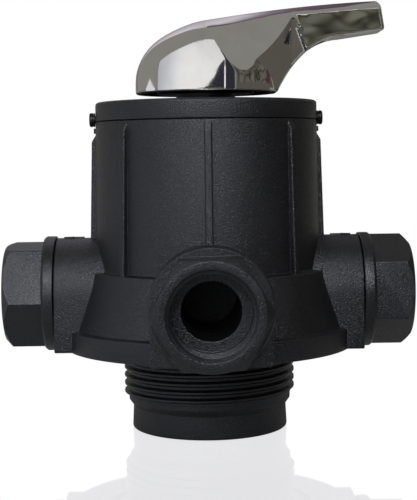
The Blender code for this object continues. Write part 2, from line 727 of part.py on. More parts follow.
def build_detent_spring(side, sign):
    coil = bpy.data.curves.new(f"spring_line_{side}", "CURVE")
    coil.dimensions = "3D"
    coil.bevel_depth = SPRING_WIRE * MM
    coil.bevel_resolution = 2
    coil.use_fill_caps = True
    low, high = SPRING_Z
    steps = SPRING_TURNS * SPRING_STEPS
    line = coil.splines.new("POLY")
    line.points.add(steps)
    for i, spot in enumerate(line.points):
        x, y = polar(SPRING_RADIUS, 360.0 * i / SPRING_STEPS)
        spot.co = (*(Vector((x, y, low + (high - low) * i / steps)) * MM), 1.0)
    wire = bpy.data.objects.new(f"detent_spring_{side}", coil)
    PARTS.objects.link(wire)
    wire.parent = AXIS
    wire.location.x = sign * DETENT_OFFSET * MM


def crest(x):
    """Height of the handle's top line."""
    if x >= 0.0:
        return HUB_SHOULDER_Z + HUB_RISE + CREST_SLOPE * x - CREST_SAG * x * x
    round_off = max(0.0, 1.0 - (x / HUB_RADIUS) ** 2)
    return HUB_SHOULDER_Z + HUB_RISE * math.sqrt(round_off) + CREST_SLOPE * x * round_off ** 2


def crown(x):
    """Rise of the handle's top from its side edge to its middle."""
    offset = x - CROWN_CENTRE_X
    if offset < 0.0:
        return CROWN_HUB * math.sqrt(max(0.0, 1.0 - (offset / CROWN_REAR_SPAN) ** 2))
    return CROWN_LEVER + (CROWN_HUB - CROWN_LEVER) * math.exp(-((offset / CROWN_FRONT_SPAN) ** 2))


def half_width(x, z, edge_z):
    """Half the handle's width: round hub, lever sides and the hollow between them."""
    hub = math.sqrt(max(0.0, HUB_RADIUS ** 2 - x * x))
    lever = LEVER_HALF + LEVER_UNDERCUT * (z - edge_z) if x > 0.0 else 0.0
    lift = z - SCOOP_LEVEL_Z
    centre_x = SCOOP_CENTRE[0] - SCOOP_LEAN[0] * lift
    centre_y = SCOOP_CENTRE[1] - SCOOP_LEAN[1] * lift
    reach = min(0.0, x - centre_x)
    scoop = centre_y - math.sqrt(max(0.0, SCOOP_RADIUS ** 2 - reach * reach))
    return min(max(hub, lever), scoop)


def throat(t):
    """Point on the underside curve from the hub's foot to the lever."""
    points = zip(THROAT_START, THROAT_BEND, THROAT_END)
    return tuple((1 - t) ** 2 * a + 2 * t * (1 - t) * b + t * t * c for a, b, c in points)


def handle_stations():
    """Foot and top points of the sections, from the back of the hub to the lever's tip."""
    stations = []
    for i in range(HUB_STATIONS):
        x = -HUB_RADIUS * math.cos(math.pi * (i + FIRST_STATION) / (HUB_STATIONS + FIRST_STATION))
        stations.append(((x, HANDLE_FOOT_Z), (x, crest(x))))
    lean = (LEVER_TIP[0] - LEVER_TIP_TOP[0]) / (LEVER_TIP[0] - THROAT_START[0])
    feet = [throat(i / THROAT_STATIONS) for i in range(THROAT_STATIONS + 1)]
    for i in range(1, LEVER_STATIONS):
        part = i / LEVER_STATIONS
        feet.append(tuple(a + (b - a) * part for a, b in zip(THROAT_END, LEVER_TIP)))
    for foot in feet:
        top_x = foot[0] - lean * (foot[0] - THROAT_START[0])
        stations.append((foot, (top_x, crest(top_x))))
    last = LEVER_TIP[0] - TIP_EDGE
    stations.append(((last, LEVER_TIP[1]), (LEVER_TIP_TOP[0] - TIP_EDGE, LEVER_TIP_TOP[1] + TIP_EDGE)))
    stations.append((LEVER_TIP, LEVER_TIP_TOP))
    return stations


def handle_section(foot, top):
    """Section points: up one side, over the crown and down the other side."""
    rise = crown(top[0])
    edge = (top[0] + (foot[0] - top[0]) * rise / (top[1] - foot[1]), top[1] - rise)
    if edge[1] <= foot[1]:
        edge = (foot[0], (foot[1] + top[1]) / 2)
        rise = top[1] - edge[1]
    side = []
    for i in range(SIDE_POINTS + 1):
        part = i / SIDE_POINTS
        x = foot[0] + (edge[0] - foot[0]) * part
        z = foot[1] + (edge[1] - foot[1]) * part
        side.append((x, half_width(x, z, edge[1]), z))
    half = side[-1][1]
    over = []
    for i in range(1, CROWN_POINTS):
        y = half * math.cos(math.pi * i / CROWN_POINTS)
        lift = 1.0 - (y / half) ** 2
        over.append((edge[0] + (top[0] - edge[0]) * lift, y, edge[1] + rise * lift))
    return side + over + [(x, -y, z) for x, y, z in reversed(side)]


def build_handle():
    bm = bmesh.new()
    rings = []
    for foot, top in handle_stations():
        rings.append([bm.verts.new(Vector(point) * MM) for point in handle_section(foot, top)])
    for first, second in zip(rings, rings[1:]):
        for i in range(len(first)):
            j = (i + 1) % len(first)
            bm.faces.new((first[i], first[j], second[j], second[i]))
    bm.faces.new(rings[0])
    bm.faces.new(rings[-1])
    handle = from_bmesh("lever_handle", bm, PARTS)
    low = HANDLE_FOOT_Z - THROUGH
    reach = (0.0, HUB_RADIUS + THROUGH)
    cutters = (
        ring("handle_well", (HANDLE_BOSS_RADIUS, HANDLE_WELL_RADIUS), (low, HANDLE_WELL_TOP_Z), home=TOOLS),
        rod("handle_bore", HANDLE_BORE, (low, HANDLE_BORE_TOP_Z), steps=SMALL_STEPS),
        rod("set_screw_hole", SET_SCREW_RADIUS + GAP, reach, "Y", (0.0, SET_SCREW_Z)),
    )
    for cutter in cutters:
        combine(handle, cutter, "DIFFERENCE")


def build_handle_fixings():
    start, end = SET_SCREW_SPAN
    place = (0.0, SET_SCREW_Z)
    screw = rod("handle_set_screw", SET_SCREW_RADIUS, (start, end), "Y", place, home=PARTS)
    reach = (end - SET_SCREW_SOCKET_DEPTH, end + THROUGH)
    socket = rod("set_screw_socket", SET_SCREW_SOCKET, reach, "Y", place, steps=6)
    combine(screw, socket, "DIFFERENCE")
    low, high = COLLAR_Z
    collar = rod("handle_collar", HANDLE_COLLAR_RADIUS, COLLAR_Z, steps=SMALL_STEPS, home=PARTS)
    square = square_bar("collar_square", STEM_SQUARE / 2 + GAP, (low - THROUGH, high + THROUGH))
    combine(collar, square, "DIFFERENCE")


def finish(made, family):
    """Turn the construction into a plain mesh, shade it and give it its own material."""
    graph = bpy.context.evaluated_depsgraph_get()
    mesh = bpy.data.meshes.new_from_object(made.evaluated_get(graph))
    bm = bmesh.new()
    bm.from_mesh(mesh)
    bmesh.ops.remove_doubles(bm, verts=bm.verts, dist=MERGE / 10)
    bm.to_mesh(mesh)
    bm.free()
    mesh.name = made.name
    mesh.shade_smooth()
    mesh.set_sharp_from_angle(angle=SHARP_ANGLE)
    colour, roughness, metallic = FINISHES[family]
    look = bpy.data.materials.new(made.name)
    look.use_nodes = True
    shader = look.node_tree.nodes["Principled BSDF"]
    shader.inputs["Base Color"].default_value = (*colour, 1.0)
    shader.inputs["Roughness"].default_value = roughness
    shader.inputs["Metallic"].default_value = metallic
    mesh.materials.clear()
    mesh.materials.append(look)
    placed_at = made.matrix_local.copy()
    name = made.name
    bpy.data.objects.remove(made, do_unlink=True)
    final = bpy.data.objects.new(name, mesh)
    PARTS.objects.link(final)
    final.parent = AXIS
    final.matrix_local = placed_at


FAMILIES = {
    "valve_body": "body",
    "top_cover": "cover",
    "dial_plate": "plate",
    "lock_screw": "blackened",
    "port_adapter": "adapter",
    "port_oring": "rubber",
    "disc_gasket": "rubber",
    "fixed_disc": "ceramic",
    "moving_disc": "ceramic",
    "stem_oring": "rubber",
    "stem": "acetal",
    "antifriction_washer": "acetal",
    "bonnet_oring": "rubber",
    "bonnet": "body",
    "index_plate": "steel",
    "stop_pin": "steel",
    "detent_ball": "steel",
    "detent_spring": "steel",
    "lever_handle": "chrome",
    "handle_set_screw": "blackened",
    "handle_collar": "body",
    "riser_oring": "rubber",
    "riser_retainer": "acetal",
    "tank_oring": "rubber",
}


def main():
    build_body()
    build_cover()
    build_lock_screw("left", 180.0)
    build_lock_screw("right", 0.0)
    for side, turn, facet in PORTS:
        build_port(side, turn, facet)
    build_discs()
    build_stem()
    build_bonnet()
    build_index_plate()
    for side, sign in (("left", -1.0), ("right", 1.0)):
        build_detent_ball(side, sign)
        build_detent_spring(side, sign)
    build_handle()
    build_handle_fixings()
    seal("riser_oring", *RISER_SEAL, ROUND_STEPS)
    ring("riser_retainer", RETAINER_RADII, RETAINER_Z, SMALL_STEPS)
    seal("tank_oring", *TANK_SEAL, ROUND_STEPS)
    for made in [o for o in PARTS.objects if o.type != "EMPTY"]:
        family = next(FAMILIES[start] for start in FAMILIES if made.name.startswith(start))
        finish(made, family)


main()
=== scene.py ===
"""Visual model of a manual multiport filter valve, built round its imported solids.

The modelling functions work in millimetres in the valve's own frame: the valve axis is x = y = 0, the front
port points along -Y and the lever along +X.
"""

import json
import math

import bmesh
import bpy
import numpy as np
from mathutils import Matrix, Vector, noise


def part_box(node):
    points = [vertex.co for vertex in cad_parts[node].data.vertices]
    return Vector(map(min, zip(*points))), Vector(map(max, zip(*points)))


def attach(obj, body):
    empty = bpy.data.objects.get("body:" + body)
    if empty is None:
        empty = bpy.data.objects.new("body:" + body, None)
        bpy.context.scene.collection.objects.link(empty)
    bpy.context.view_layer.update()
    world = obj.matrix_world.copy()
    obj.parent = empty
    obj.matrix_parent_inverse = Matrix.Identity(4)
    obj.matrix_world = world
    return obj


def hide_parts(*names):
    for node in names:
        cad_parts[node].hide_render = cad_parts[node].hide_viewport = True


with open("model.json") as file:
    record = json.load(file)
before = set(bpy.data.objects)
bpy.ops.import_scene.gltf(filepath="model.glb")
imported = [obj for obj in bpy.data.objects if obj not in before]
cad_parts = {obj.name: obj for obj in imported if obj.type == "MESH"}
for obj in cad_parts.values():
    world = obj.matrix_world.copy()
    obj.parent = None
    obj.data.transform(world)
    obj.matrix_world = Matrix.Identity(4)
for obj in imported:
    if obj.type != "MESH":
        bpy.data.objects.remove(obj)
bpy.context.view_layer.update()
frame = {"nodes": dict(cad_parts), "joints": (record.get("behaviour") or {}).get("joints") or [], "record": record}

MM = 0.001
TURN_JOINT = next(joint for joint in frame["joints"] if joint["name"] == "handle_turn")
AXIS = Vector((TURN_JOINT["pos_m"][0], TURN_JOINT["pos_m"][1], 0.0))


def extent(node, axis):
    """Low and high end of a CAD node along an axis, measured from the valve axis."""
    low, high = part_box(node)
    return (low[axis] - AXIS[axis]) / MM, (high[axis] - AXIS[axis]) / MM


# Sizes read from the frame
BARREL_RADIUS = extent("top_cover", 0)[1]
COVER_FOOT, COVER_TOP = extent("top_cover", 2)
BODY_TOP = extent("valve_body", 2)[1]
BAND_RADIUS = extent("valve_body", 1)[1]
BOSS_END = extent("valve_body", 0)[1]
PORT_SEAT, PORT_END = extent("port_adapter_right", 0)
PORT_Z = sum(extent("port_adapter_right", 2)) / 2
PORT_COLLAR_RADIUS = (extent("port_adapter_right", 2)[1] - extent("port_adapter_right", 2)[0]) / 2
PLATE_FOOT, PLATE_TOP = extent("dial_plate", 2)
PLATE_OUTER = extent("dial_plate", 0)[1]
HUB_RADIUS = extent("lever_handle", 1)[1]
HANDLE_FOOT = extent("lever_handle", 2)[0]
LEVER_END = extent("lever_handle", 0)[1]
COLLAR_FOOT, COLLAR_TOP = extent("handle_collar", 2)
COLLAR_RADIUS = extent("handle_collar", 0)[1]
SCREW_HEAD_END = extent("lock_screw_right", 0)[1]
SCREW_TIP = extent("lock_screw_right", 0)[0]
SCREW_Z = sum(extent("lock_screw_right", 2)) / 2
SCREW_RADIUS = (extent("lock_screw_right", 2)[1] - extent("lock_screw_right", 2)[0]) / 2

# Body
BARREL_FOOT_RADIUS = 47.15
SHOULDER_Z = 128.9
SPIGOT_RADIUS = 43.0
CHAMBER_RADIUS = 38.0
CHAMBER_FLOOR = 84.0
LEDGE_Z = 67.2
LEDGE_FALL = 0.2
SKIRT_TOP_RADIUS = 50.9
SKIRT_FOOT_RADIUS = 58.1
BAND_TOP = 43.4
BAND_FALL = 0.5
BAND_FOOT = 34.8
NECK_CREST = 36.0
NECK_ROOT = 34.4
NECK_PITCH = 3.4
NECK_EXTRA_TURN = 0.3
RUNOUT_RADIUS = 34.2
RUNOUT_TOP = 13.9
RUNOUT_TAPER = 0.6
RUNOUT_FOOT = 12.2
NOSE_TOP = 9.6
NOSE_TOP_RADIUS = 32.35
NOSE_FOOT_RADIUS = 32.85
ANNULUS_RADIUS = 29.0
ANNULUS_TOP = 26.0
RISER_TUBE_RADIUS = 18.5
RISER_TUBE_FOOT = 1.5
RISER_POCKET_RADIUS = 16.0
RISER_POCKET_TOP = 8.0
RISER_RADIUS = 13.6
CENTRE_WAY_RADIUS = 9.0
CENTRE_WAY_FOOT = 34.0
SEAL_GROOVE = (40.4, 43.6)
SEAL_GROOVE_TOP = 37.9
WAY_RADIUS = 7.0
WAY_OFFSET = 23.5
DROP_WAY_FOOT = 54.0
TANK_WAY_FOOT = 25.0

# Port bosses
BOSS_RADIUS = 23.3
BOSS_FOOT = 34.9
BOSS_ROOT = 38.0
BOSS_ARC_STEPS = 48
PORT_WAY_RADIUS = 11.3
PORT_WAY_END = 15.5
SOCKET_RADIUS = 17.3
SOCKET_GAP = 0.6

# Ribs, and the tabs and arrows at the two sides
RIB_COUNT = 8
RIB_WIDTH = 2.95
RIB_ROOT = 44.0
RIB_FOOT = (49.9, 61.0)
RIB_HEAD = (48.0, 124.7)
RIB_CREST = (46.1, 128.5)
SIDE_RIB_HEAD = (48.1, 120.8)
SIDE_RIB_CREST = (46.1, 124.1)
TAB_END = 47.1
TAB_HALF_WIDTH = 2.5
TAB_SPAN = (124.2, 126.4)
ARROW_TIP = 61.0
ARROW_NECK = 56.5
ARROW_TAIL = 52.0
ARROW_HALF_WIDTH = 2.3
ARROW_STEM_HALF_WIDTH = 0.8
ARROW_HEIGHT = 0.5

# Cover and dial
COVER_CEILING = 133.4
COVER_BORE = 10.0
PLATE_INNER = 14.3
MARK_HEIGHTS = (-0.05, 0.08)
MARK_OUTER = 40.2
LONG_MARK = (33.5, 0.5)
SHORT_MARK = (38.0, 0.225)
MARK_STEP = 5.0
POSITION_COUNT = 3
POSITION_STEP = 90.0
DOT_RADIUS = 0.8
DOT_RING = 31.2
DOT_STEP = 6.0

# Lock screws, with depths measured back from the end of the head
SCREW_HEAD_DEPTH = 1.5
SCREW_WASHER = (1.8, 2.3)
SCREW_NECK_DEPTH = 0.35
SCREW_SHANK_RADIUS = 1.5
SCREW_TIP_RADIUS = 1.1
SCREW_TIP_CHAMFER = 0.4
SCREW_SLOT_HALF = (1.7, 0.35)
SCREW_SLOT_DEPTH = 1.1
SCREW_SLOT_TURN = 20.0
SCREW_HOLE_RADIUS = 1.8
SCREW_HOLE_END_GAP = 0.4

# Port adapters
COLLAR_END = 68.5
COLLAR_FALL = 0.9
HEX_CORNER = 23.4
HEX_FACE_RADIUS = 19.8
HEX_CHAMFER = 81.6
HEX_SLEEVE_RADIUS = 30.0
MOUTH_RADIUS = 17.1
PORT_THREAD_ROOT = 16.6
PORT_THREAD_CREST = 15.35
PORT_THREAD_FLOOR = 69.9
PORT_THREAD_START = PORT_THREAD_FLOOR + 1.6
PORT_PITCH = 2.309
PORT_BORE = 11.2
SEAT_RADIUS = 17.0
RING_GROOVE = (54.0, 56.4)
RING_GROOVE_RADIUS = 14.9

# Each port's turn about the valve axis and its hexagon's turn about the port, in degrees
PORTS = {"left": (180.0, 25.0), "right": (0.0, -3.8), "front": (-90.0, 31.4)}

# Threads: root, crest, half-width at the root and half-width at the crest
THREAD_SINK = 0.4
NECK_THREAD = (NECK_ROOT - THREAD_SINK, NECK_CREST, 1.45, 0.35)
PORT_THREAD = (PORT_THREAD_CREST - THREAD_SINK, PORT_THREAD_ROOT, 1.05, 0.25)

# Gap between pieces that fit in each other
CLEARANCE = 0.3

# Seals, collar and retainer
SEAL_STEPS = 24
COLLAR_BORE = 8.9
RETAINER_WALL = 2.0

# Fine geometry
AROUND = 192
ARC_STEP = math.radians(18)
ARC_SHARE = 0.48
STRAIGHT = math.pi - 0.02
SHARP = math.radians(32)
OVERLAP = 1.0
WELD = 1e-4
HANDLE_CELL = 0.55

OBJECT = bpy.data.collections.new("multiport_valve")
LAMP_LIT = bpy.data.collections.new("lit_by_the_lamps")
STUDIO = bpy.data.collections.new("studio")
for group in (OBJECT, STUDIO):
    bpy.context.scene.collection.children.link(group)


# ---------------------------------------------------------------- shapes

def polar(radius, degrees):
    return radius * math.cos(math.radians(degrees)), radius * math.sin(math.radians(degrees))


def rounded(corners):
    """A closed outline from (a, b) or (a, b, radius) corners, with an arc where a corner has a radius."""
    outline = []
    for i, corner in enumerate(corners):
        here = Vector(corner[:2])
        radius = corner[2] if len(corner) > 2 else 0.0
        before = Vector(corners[i - 1][:2]) - here
        after = Vector(corners[(i + 1) % len(corners)][:2]) - here
        angle = before.angle(after)
        if radius == 0.0 or angle > STRAIGHT:
            outline.append(tuple(here))
            continue
        cut = min(radius / math.tan(angle / 2), before.length * ARC_SHARE, after.length * ARC_SHARE)
        radius = cut * math.tan(angle / 2)
        middle = (before.normalized() + after.normalized()).normalized()
        centre = here + middle * (radius / math.sin(angle / 2))
        first = here + before.normalized() * cut - centre
        turn = first.angle_signed(here + after.normalized() * cut - centre)
        steps = max(2, math.ceil(abs(turn) / ARC_STEP))
        for k in range(steps + 1):
            swung = first.copy()
            swung.rotate(Matrix.Rotation(-turn * k / steps, 2))
            outline.append(tuple(centre + swung))
    return outline


def along(axis, turn=0.0):
    """Turn a shape built up +Z so that its height runs along X, Y or Z, then turn it about the valve axis."""
    lying = {
        "X": Matrix(((0, 0, 1, 0), (1, 0, 0, 0), (0, 1, 0, 0), (0, 0, 0, 1))),
        "Y": Matrix(((1, 0, 0, 0), (0, 0, 1, 0), (0, 1, 0, 0), (0, 0, 0, 1))),
        "Z": Matrix.Identity(4),
    }[axis]
    return Matrix.Rotation(math.radians(turn), 4, "Z") @ lying


def at_port(turn):
    """Turn a shape built up +Z to lie along a port, on the port's centre line."""
    return along("X", turn) @ Matrix.Translation((0.0, PORT_Z, 0.0))


def from_bmesh(name, bm):
    bmesh.ops.recalc_face_normals(bm, faces=bm.faces)
    mesh = bpy.data.meshes.new(name)
    bm.to_mesh(mesh)
    bm.free()
    made = bpy.data.objects.new(name, mesh)
    OBJECT.objects.link(made)
    return made


def turned(name, profile, steps=AROUND):
    """A closed (radius, height) profile turned about the Z axis."""
    bm = bmesh.new()
    rings = []
    for i in range(steps):
        x, y = polar(1.0, 360.0 * i / steps)
        rings.append([bm.verts.new((r * x, r * y, z)) for r, z in profile])
    for i, ring in enumerate(rings):
        after = rings[(i + 1) % steps]
        for k in range(len(profile)):
            bm.faces.new((ring[k], after[k], after[k - 1], ring[k - 1]))
    if min(r for r, _ in profile) == 0.0:
        bmesh.ops.remove_doubles(bm, verts=bm.verts, dist=WELD)
    return from_bmesh(name, bm)


def drawn_out(name, outline, span, bevel=0.0):
    """A flat outline drawn out along Z, with its end edges rounded."""
    low, high = span
    curve = bpy.data.curves.new(name, "CURVE")
    curve.dimensions = "2D"
    curve.fill_mode = "BOTH"
    curve.extrude = (high - low) / 2 - bevel
    curve.bevel_depth = bevel
    curve.bevel_resolution = 3
    curve.offset = -bevel
    line = curve.splines.new("POLY")
    line.points.add(len(outline) - 1)
    line.use_cyclic_u = True
    for spot, (a, b) in zip(line.points, outline):
        spot.co = (a, b, 0.0, 1.0)
    holder = bpy.data.objects.new(name, curve)
    OBJECT.objects.link(holder)
    mesh = bpy.data.meshes.new_from_object(holder.evaluated_get(bpy.context.evaluated_depsgraph_get()))
    bpy.data.objects.remove(holder, do_unlink=True)
    bm = bmesh.new()
    bm.from_mesh(mesh)
    bmesh.ops.remove_doubles(bm, verts=bm.verts, dist=WELD)
    bmesh.ops.translate(bm, verts=bm.verts, vec=(0.0, 0.0, (low + high) / 2))
    return from_bmesh(name, bm)


def rod(name, radius, span, steps=AROUND // 3):
    low, high = span
    bm = bmesh.new()
    middle = Matrix.Translation((0.0, 0.0, (low + high) / 2))
    bmesh.ops.create_cone(
        bm,
        cap_ends=True,
        segments=steps,
        radius1=radius,
        radius2=radius,
        depth=high - low,
        matrix=middle,
    )
    return from_bmesh(name, bm)


def ridge(name, section, pitch, start, turns, fade=0.12):
    """A thread ridge wound up the Z axis. Its section is (root, crest, root half-width, crest half-width),
    and its ends sink back to the root over a part of a turn."""
    root, crest, foot, top = section
    bm = bmesh.new()
    count = round(turns * AROUND)
    rings = []
    for i in range(count + 1):
        part = min(1.0, i / (fade * AROUND), (count - i) / (fade * AROUND))
        height = root + (crest - root) * math.sin(part * math.pi / 2)
        level = start + pitch * i / AROUND
        x, y = polar(1.0, 360.0 * i / AROUND)
        shape = [(root, -foot), (height, -top), (height, top), (root, foot)]
        rings.append([bm.verts.new((r * x, r * y, level + dz)) for r, dz in shape])
    for ring, after in zip(rings, rings[1:]):
        for k in range(4):
            bm.faces.new((ring[k - 1], ring[k], after[k], after[k - 1]))
    bm.faces.new(rings[0])
    bm.faces.new(rings[-1])
    return from_bmesh(name, bm)


def moved(made, matrix):
    made.data.transform(matrix)
    return made


def combine(target, operation, *tools):
    """Cut the tools out of the target or add them to it, and remove them."""
    for tool in tools:
        step = target.modifiers.new("combine", "BOOLEAN")
        step.operation = operation
        step.solver = "EXACT"
        step.object = tool
        mesh = bpy.data.meshes.new_from_object(target.evaluated_get(bpy.context.evaluated_depsgraph_get()))
        target.modifiers.clear()
        target.data = mesh
        bpy.data.objects.remove(tool, do_unlink=True)
    return target


def join(name, parts):
    """Several meshes as one object."""
    bm = bmesh.new()
    for part in parts:
        bm.from_mesh(part.data)
        bpy.data.objects.remove(part, do_unlink=True)
    return from_bmesh(name, bm)


def piece(made, body, slot, look, *nodes):
    """Put a finished shape in the row frame, on its body, with its look, in place of CAD nodes."""
    made.data.transform(Matrix.Translation(AXIS) @ Matrix.Scale(MM, 4))
    made.data.name = made.name
    made.data.shade_smooth()
    made.data.set_sharp_from_angle(angle=SHARP)
    made.data.materials.clear()
    made.data.materials.append(look)
    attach(made, body)
    if nodes:
        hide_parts(*nodes)
    if slot != "chrome":
        LAMP_LIT.objects.link(made)
    return made


# ---------------------------------------------------------------- body

def body_profile():
    return rounded([
        (SPIGOT_RADIUS, BODY_TOP, 0.4),
        (SPIGOT_RADIUS, SHOULDER_Z, 0.2),
        (BARREL_RADIUS, SHOULDER_Z, 0.45),
        (BARREL_FOOT_RADIUS, LEDGE_Z + LEDGE_FALL, 1.0),
        (SKIRT_TOP_RADIUS, LEDGE_Z, 0.55),
        (SKIRT_FOOT_RADIUS, BAND_TOP + BAND_FALL, 0.6),
        (BAND_RADIUS, BAND_TOP, 0.35),
        (BAND_RADIUS, BAND_FOOT, 0.5),
        (NECK_ROOT, BAND_FOOT, 0.5),
        (NECK_ROOT, RUNOUT_TOP + RUNOUT_TAPER, 0.3),
        (RUNOUT_RADIUS, RUNOUT_TOP, 0.3),
        (RUNOUT_RADIUS, RUNOUT_FOOT, 0.5),
        (NOSE_TOP_RADIUS, NOSE_TOP, 0.7),
        (NOSE_FOOT_RADIUS, 0.0, 1.0),
        (ANNULUS_RADIUS, 0.0, 0.6),
        (ANNULUS_RADIUS, ANNULUS_TOP, 1.5),
        (RISER_TUBE_RADIUS, ANNULUS_TOP, 1.5),
        (RISER_TUBE_RADIUS, RISER_TUBE_FOOT, 0.6),
        (RISER_POCKET_RADIUS, RISER_TUBE_FOOT, 0.4),
        (RISER_POCKET_RADIUS, RISER_POCKET_TOP, 0.2),
        (RISER_RADIUS, RISER_POCKET_TOP, 0.4),
        (RISER_RADIUS, CENTRE_WAY_FOOT, 0.2),
        (CENTRE_WAY_RADIUS, CENTRE_WAY_FOOT, 0.6),
        (CENTRE_WAY_RADIUS, CHAMBER_FLOOR, 0.4),
        (CHAMBER_RADIUS, CHAMBER_FLOOR, 0.6),
        (CHAMBER_RADIUS, BODY_TOP, 0.4),
    ])


def boss_outline():
    """Round above the port's centre line and straight-sided below it."""
    arc = [polar(BOSS_RADIUS, 180.0 * i / BOSS_ARC_STEPS) for i in range(BOSS_ARC_STEPS + 1)]
    upper = [(a, PORT_Z + b) for a, b in arc]
    lower = rounded([
        (-BOSS_RADIUS, PORT_Z),
        (-BOSS_RADIUS, BOSS_FOOT, 1.2),
        (BOSS_RADIUS, BOSS_FOOT, 1.2),
        (BOSS_RADIUS, PORT_Z),
    ])
    return upper + lower[1:-1]


def make_ribs():
    """Upright ribs round the barrel. The two at the sides stop under the lock screws."""
    ribs = []
    for i in range(RIB_COUNT):
        at_side = i % (RIB_COUNT // 2) == 0
        head, crest = (SIDE_RIB_HEAD, SIDE_RIB_CREST) if at_side else (RIB_HEAD, RIB_CREST)
        foot_root = (RIB_ROOT, RIB_FOOT[1])
        crest_root = (RIB_ROOT, crest[1])
        outline = rounded([foot_root, RIB_FOOT, (*head, 2.0), crest, crest_root])
        rib = drawn_out("rib", outline, (-RIB_WIDTH / 2, RIB_WIDTH / 2), 0.6)
        ribs.append(moved(rib, along("Y", 360.0 * i / RIB_COUNT)))
    return join("ribs", ribs)


def tab_outline():
    return rounded([
        (RIB_ROOT, -TAB_HALF_WIDTH),
        (TAB_END, -TAB_HALF_WIDTH, 0.6),
        (TAB_END, TAB_HALF_WIDTH, 0.6),
        (RIB_ROOT, TAB_HALF_WIDTH),
    ])


def arrow_outline():
    return rounded([
        (ARROW_TIP, 0.0, 0.3),
        (ARROW_NECK, ARROW_HALF_WIDTH, 0.3),
        (ARROW_NECK, ARROW_STEM_HALF_WIDTH, 0.2),
        (ARROW_TAIL, ARROW_STEM_HALF_WIDTH, 0.3),
        (ARROW_TAIL, -ARROW_STEM_HALF_WIDTH, 0.3),
        (ARROW_NECK, -ARROW_STEM_HALF_WIDTH, 0.2),
        (ARROW_NECK, -ARROW_HALF_WIDTH, 0.3),
    ])


def make_trim():
    """A small tab over each side rib and a raised arrow on top of each side boss."""
    trim = []
    boss_top = PORT_Z + BOSS_RADIUS
    for turn in (0.0, 180.0):
        tab = drawn_out("tab", tab_outline(), TAB_SPAN, 0.25)
        arrow = drawn_out("arrow", arrow_outline(), (boss_top - OVERLAP, boss_top + ARROW_HEIGHT), 0.15)
        trim += [moved(tab, along("Z", turn)), moved(arrow, along("Z", turn))]
    return join("trim", trim)


def seal_groove():
    inner, outer = SEAL_GROOVE
    below = BAND_FOOT - OVERLAP
    return turned("groove", [
        (outer, SEAL_GROOVE_TOP),
        (outer, below),
        (inner, below),
        (inner, SEAL_GROOVE_TOP),
    ])


def cut_water_ways(body):
    """Each port's socket and way, its drop from the disc chamber, and the way down to the tank."""
    above = CHAMBER_FLOOR + OVERLAP
    for turn, _ in PORTS.values():
        socket = rod("socket", SOCKET_RADIUS, (PORT_SEAT - SOCKET_GAP, BOSS_END + OVERLAP))
        way = rod("way", PORT_WAY_RADIUS, (PORT_WAY_END, BOSS_END + OVERLAP))
        drop = rod("drop", WAY_RADIUS, (DROP_WAY_FOOT, above))
        drop_place = along("Z", turn) @ Matrix.Translation((WAY_OFFSET, 0.0, 0.0))
        combine(body, "DIFFERENCE", moved(socket, at_port(turn)), moved(way, at_port(turn)))
        combine(body, "DIFFERENCE", moved(drop, drop_place))
    tank_way = rod("tank_way", WAY_RADIUS, (TANK_WAY_FOOT, above))
    combine(body, "DIFFERENCE", moved(tank_way, Matrix.Translation((0.0, WAY_OFFSET, 0.0))))


def screw_holes():
    """Both lock screws' holes, through the cover's rim and into the body."""
    holes = []
    for turn in (0.0, 180.0):
        hole = rod("hole", SCREW_HOLE_RADIUS, (SCREW_TIP - SCREW_HOLE_END_GAP, BAND_RADIUS))
        holes.append(moved(hole, along("X", turn) @ Matrix.Translation((0.0, SCREW_Z, 0.0))))
    return join("holes", holes)


def make_body(look):
    body = turned("valve_body_moulding", body_profile())
    for turn, _ in PORTS.values():
        boss = drawn_out("boss", boss_outline(), (BOSS_ROOT, BOSS_END), 0.5)
        combine(body, "UNION", moved(boss, along("X", turn)))
    combine(body, "UNION", make_ribs())
    combine(body, "UNION", make_trim())
    turns = (BAND_FOOT - RUNOUT_TOP) / NECK_PITCH + NECK_EXTRA_TURN
    combine(body, "UNION", ridge("thread", NECK_THREAD, NECK_PITCH, RUNOUT_TOP, turns))
    combine(body, "DIFFERENCE", seal_groove())
    cut_water_ways(body)
    combine(body, "DIFFERENCE", screw_holes())
    piece(body, "body", "body_plastic", look, "valve_body")


# ---------------------------------------------------------------- cover, dial and screws

def make_cover(look):
    recess = PLATE_FOOT - CLEARANCE
    cover = turned("top_cover_moulding", rounded([
        (BARREL_RADIUS, COVER_TOP, 1.4),
        (BARREL_RADIUS, COVER_FOOT, 0.35),
        (SPIGOT_RADIUS + CLEARANCE, COVER_FOOT, 0.2),
        (SPIGOT_RADIUS + CLEARANCE, COVER_CEILING, 0.2),
        (COVER_BORE, COVER_CEILING, 0.2),
        (COVER_BORE, COVER_TOP, 0.4),
        (PLATE_INNER - CLEARANCE, COVER_TOP, 0.2),
        (PLATE_INNER - CLEARANCE, recess, 0.05),
        (PLATE_OUTER + CLEARANCE, recess, 0.05),
        (PLATE_OUTER + CLEARANCE, COVER_TOP, 0.25),
    ]))
    combine(cover, "DIFFERENCE", screw_holes())
    piece(cover, "body", "cover_plastic", look, "top_cover")


def scale_marks(level):
    """A half-circle scale with a long mark at each position of the lever."""
    marks = []
    count = round((POSITION_COUNT - 1) * POSITION_STEP / MARK_STEP)
    for i in range(count + 1):
        inner, half = LONG_MARK if i * MARK_STEP % POSITION_STEP == 0 else SHORT_MARK
        bar = [(inner, -half), (MARK_OUTER, -half), (MARK_OUTER, half), (inner, half)]
        marks.append(moved(drawn_out("mark", bar, level), along("Z", -MARK_STEP * i)))
    return marks


def position_dots(level):
    """One, two and three dots inside the long marks."""
    dots = []
    for place in range(POSITION_COUNT):
        for k in range(place + 1):
            swing = -POSITION_STEP * place + (k - place / 2) * DOT_STEP
            dot = rod("dot", DOT_RADIUS, level, 24)
            dots.append(moved(dot, along("Z", swing) @ Matrix.Translation((DOT_RING, 0.0, 0.0))))
    return dots


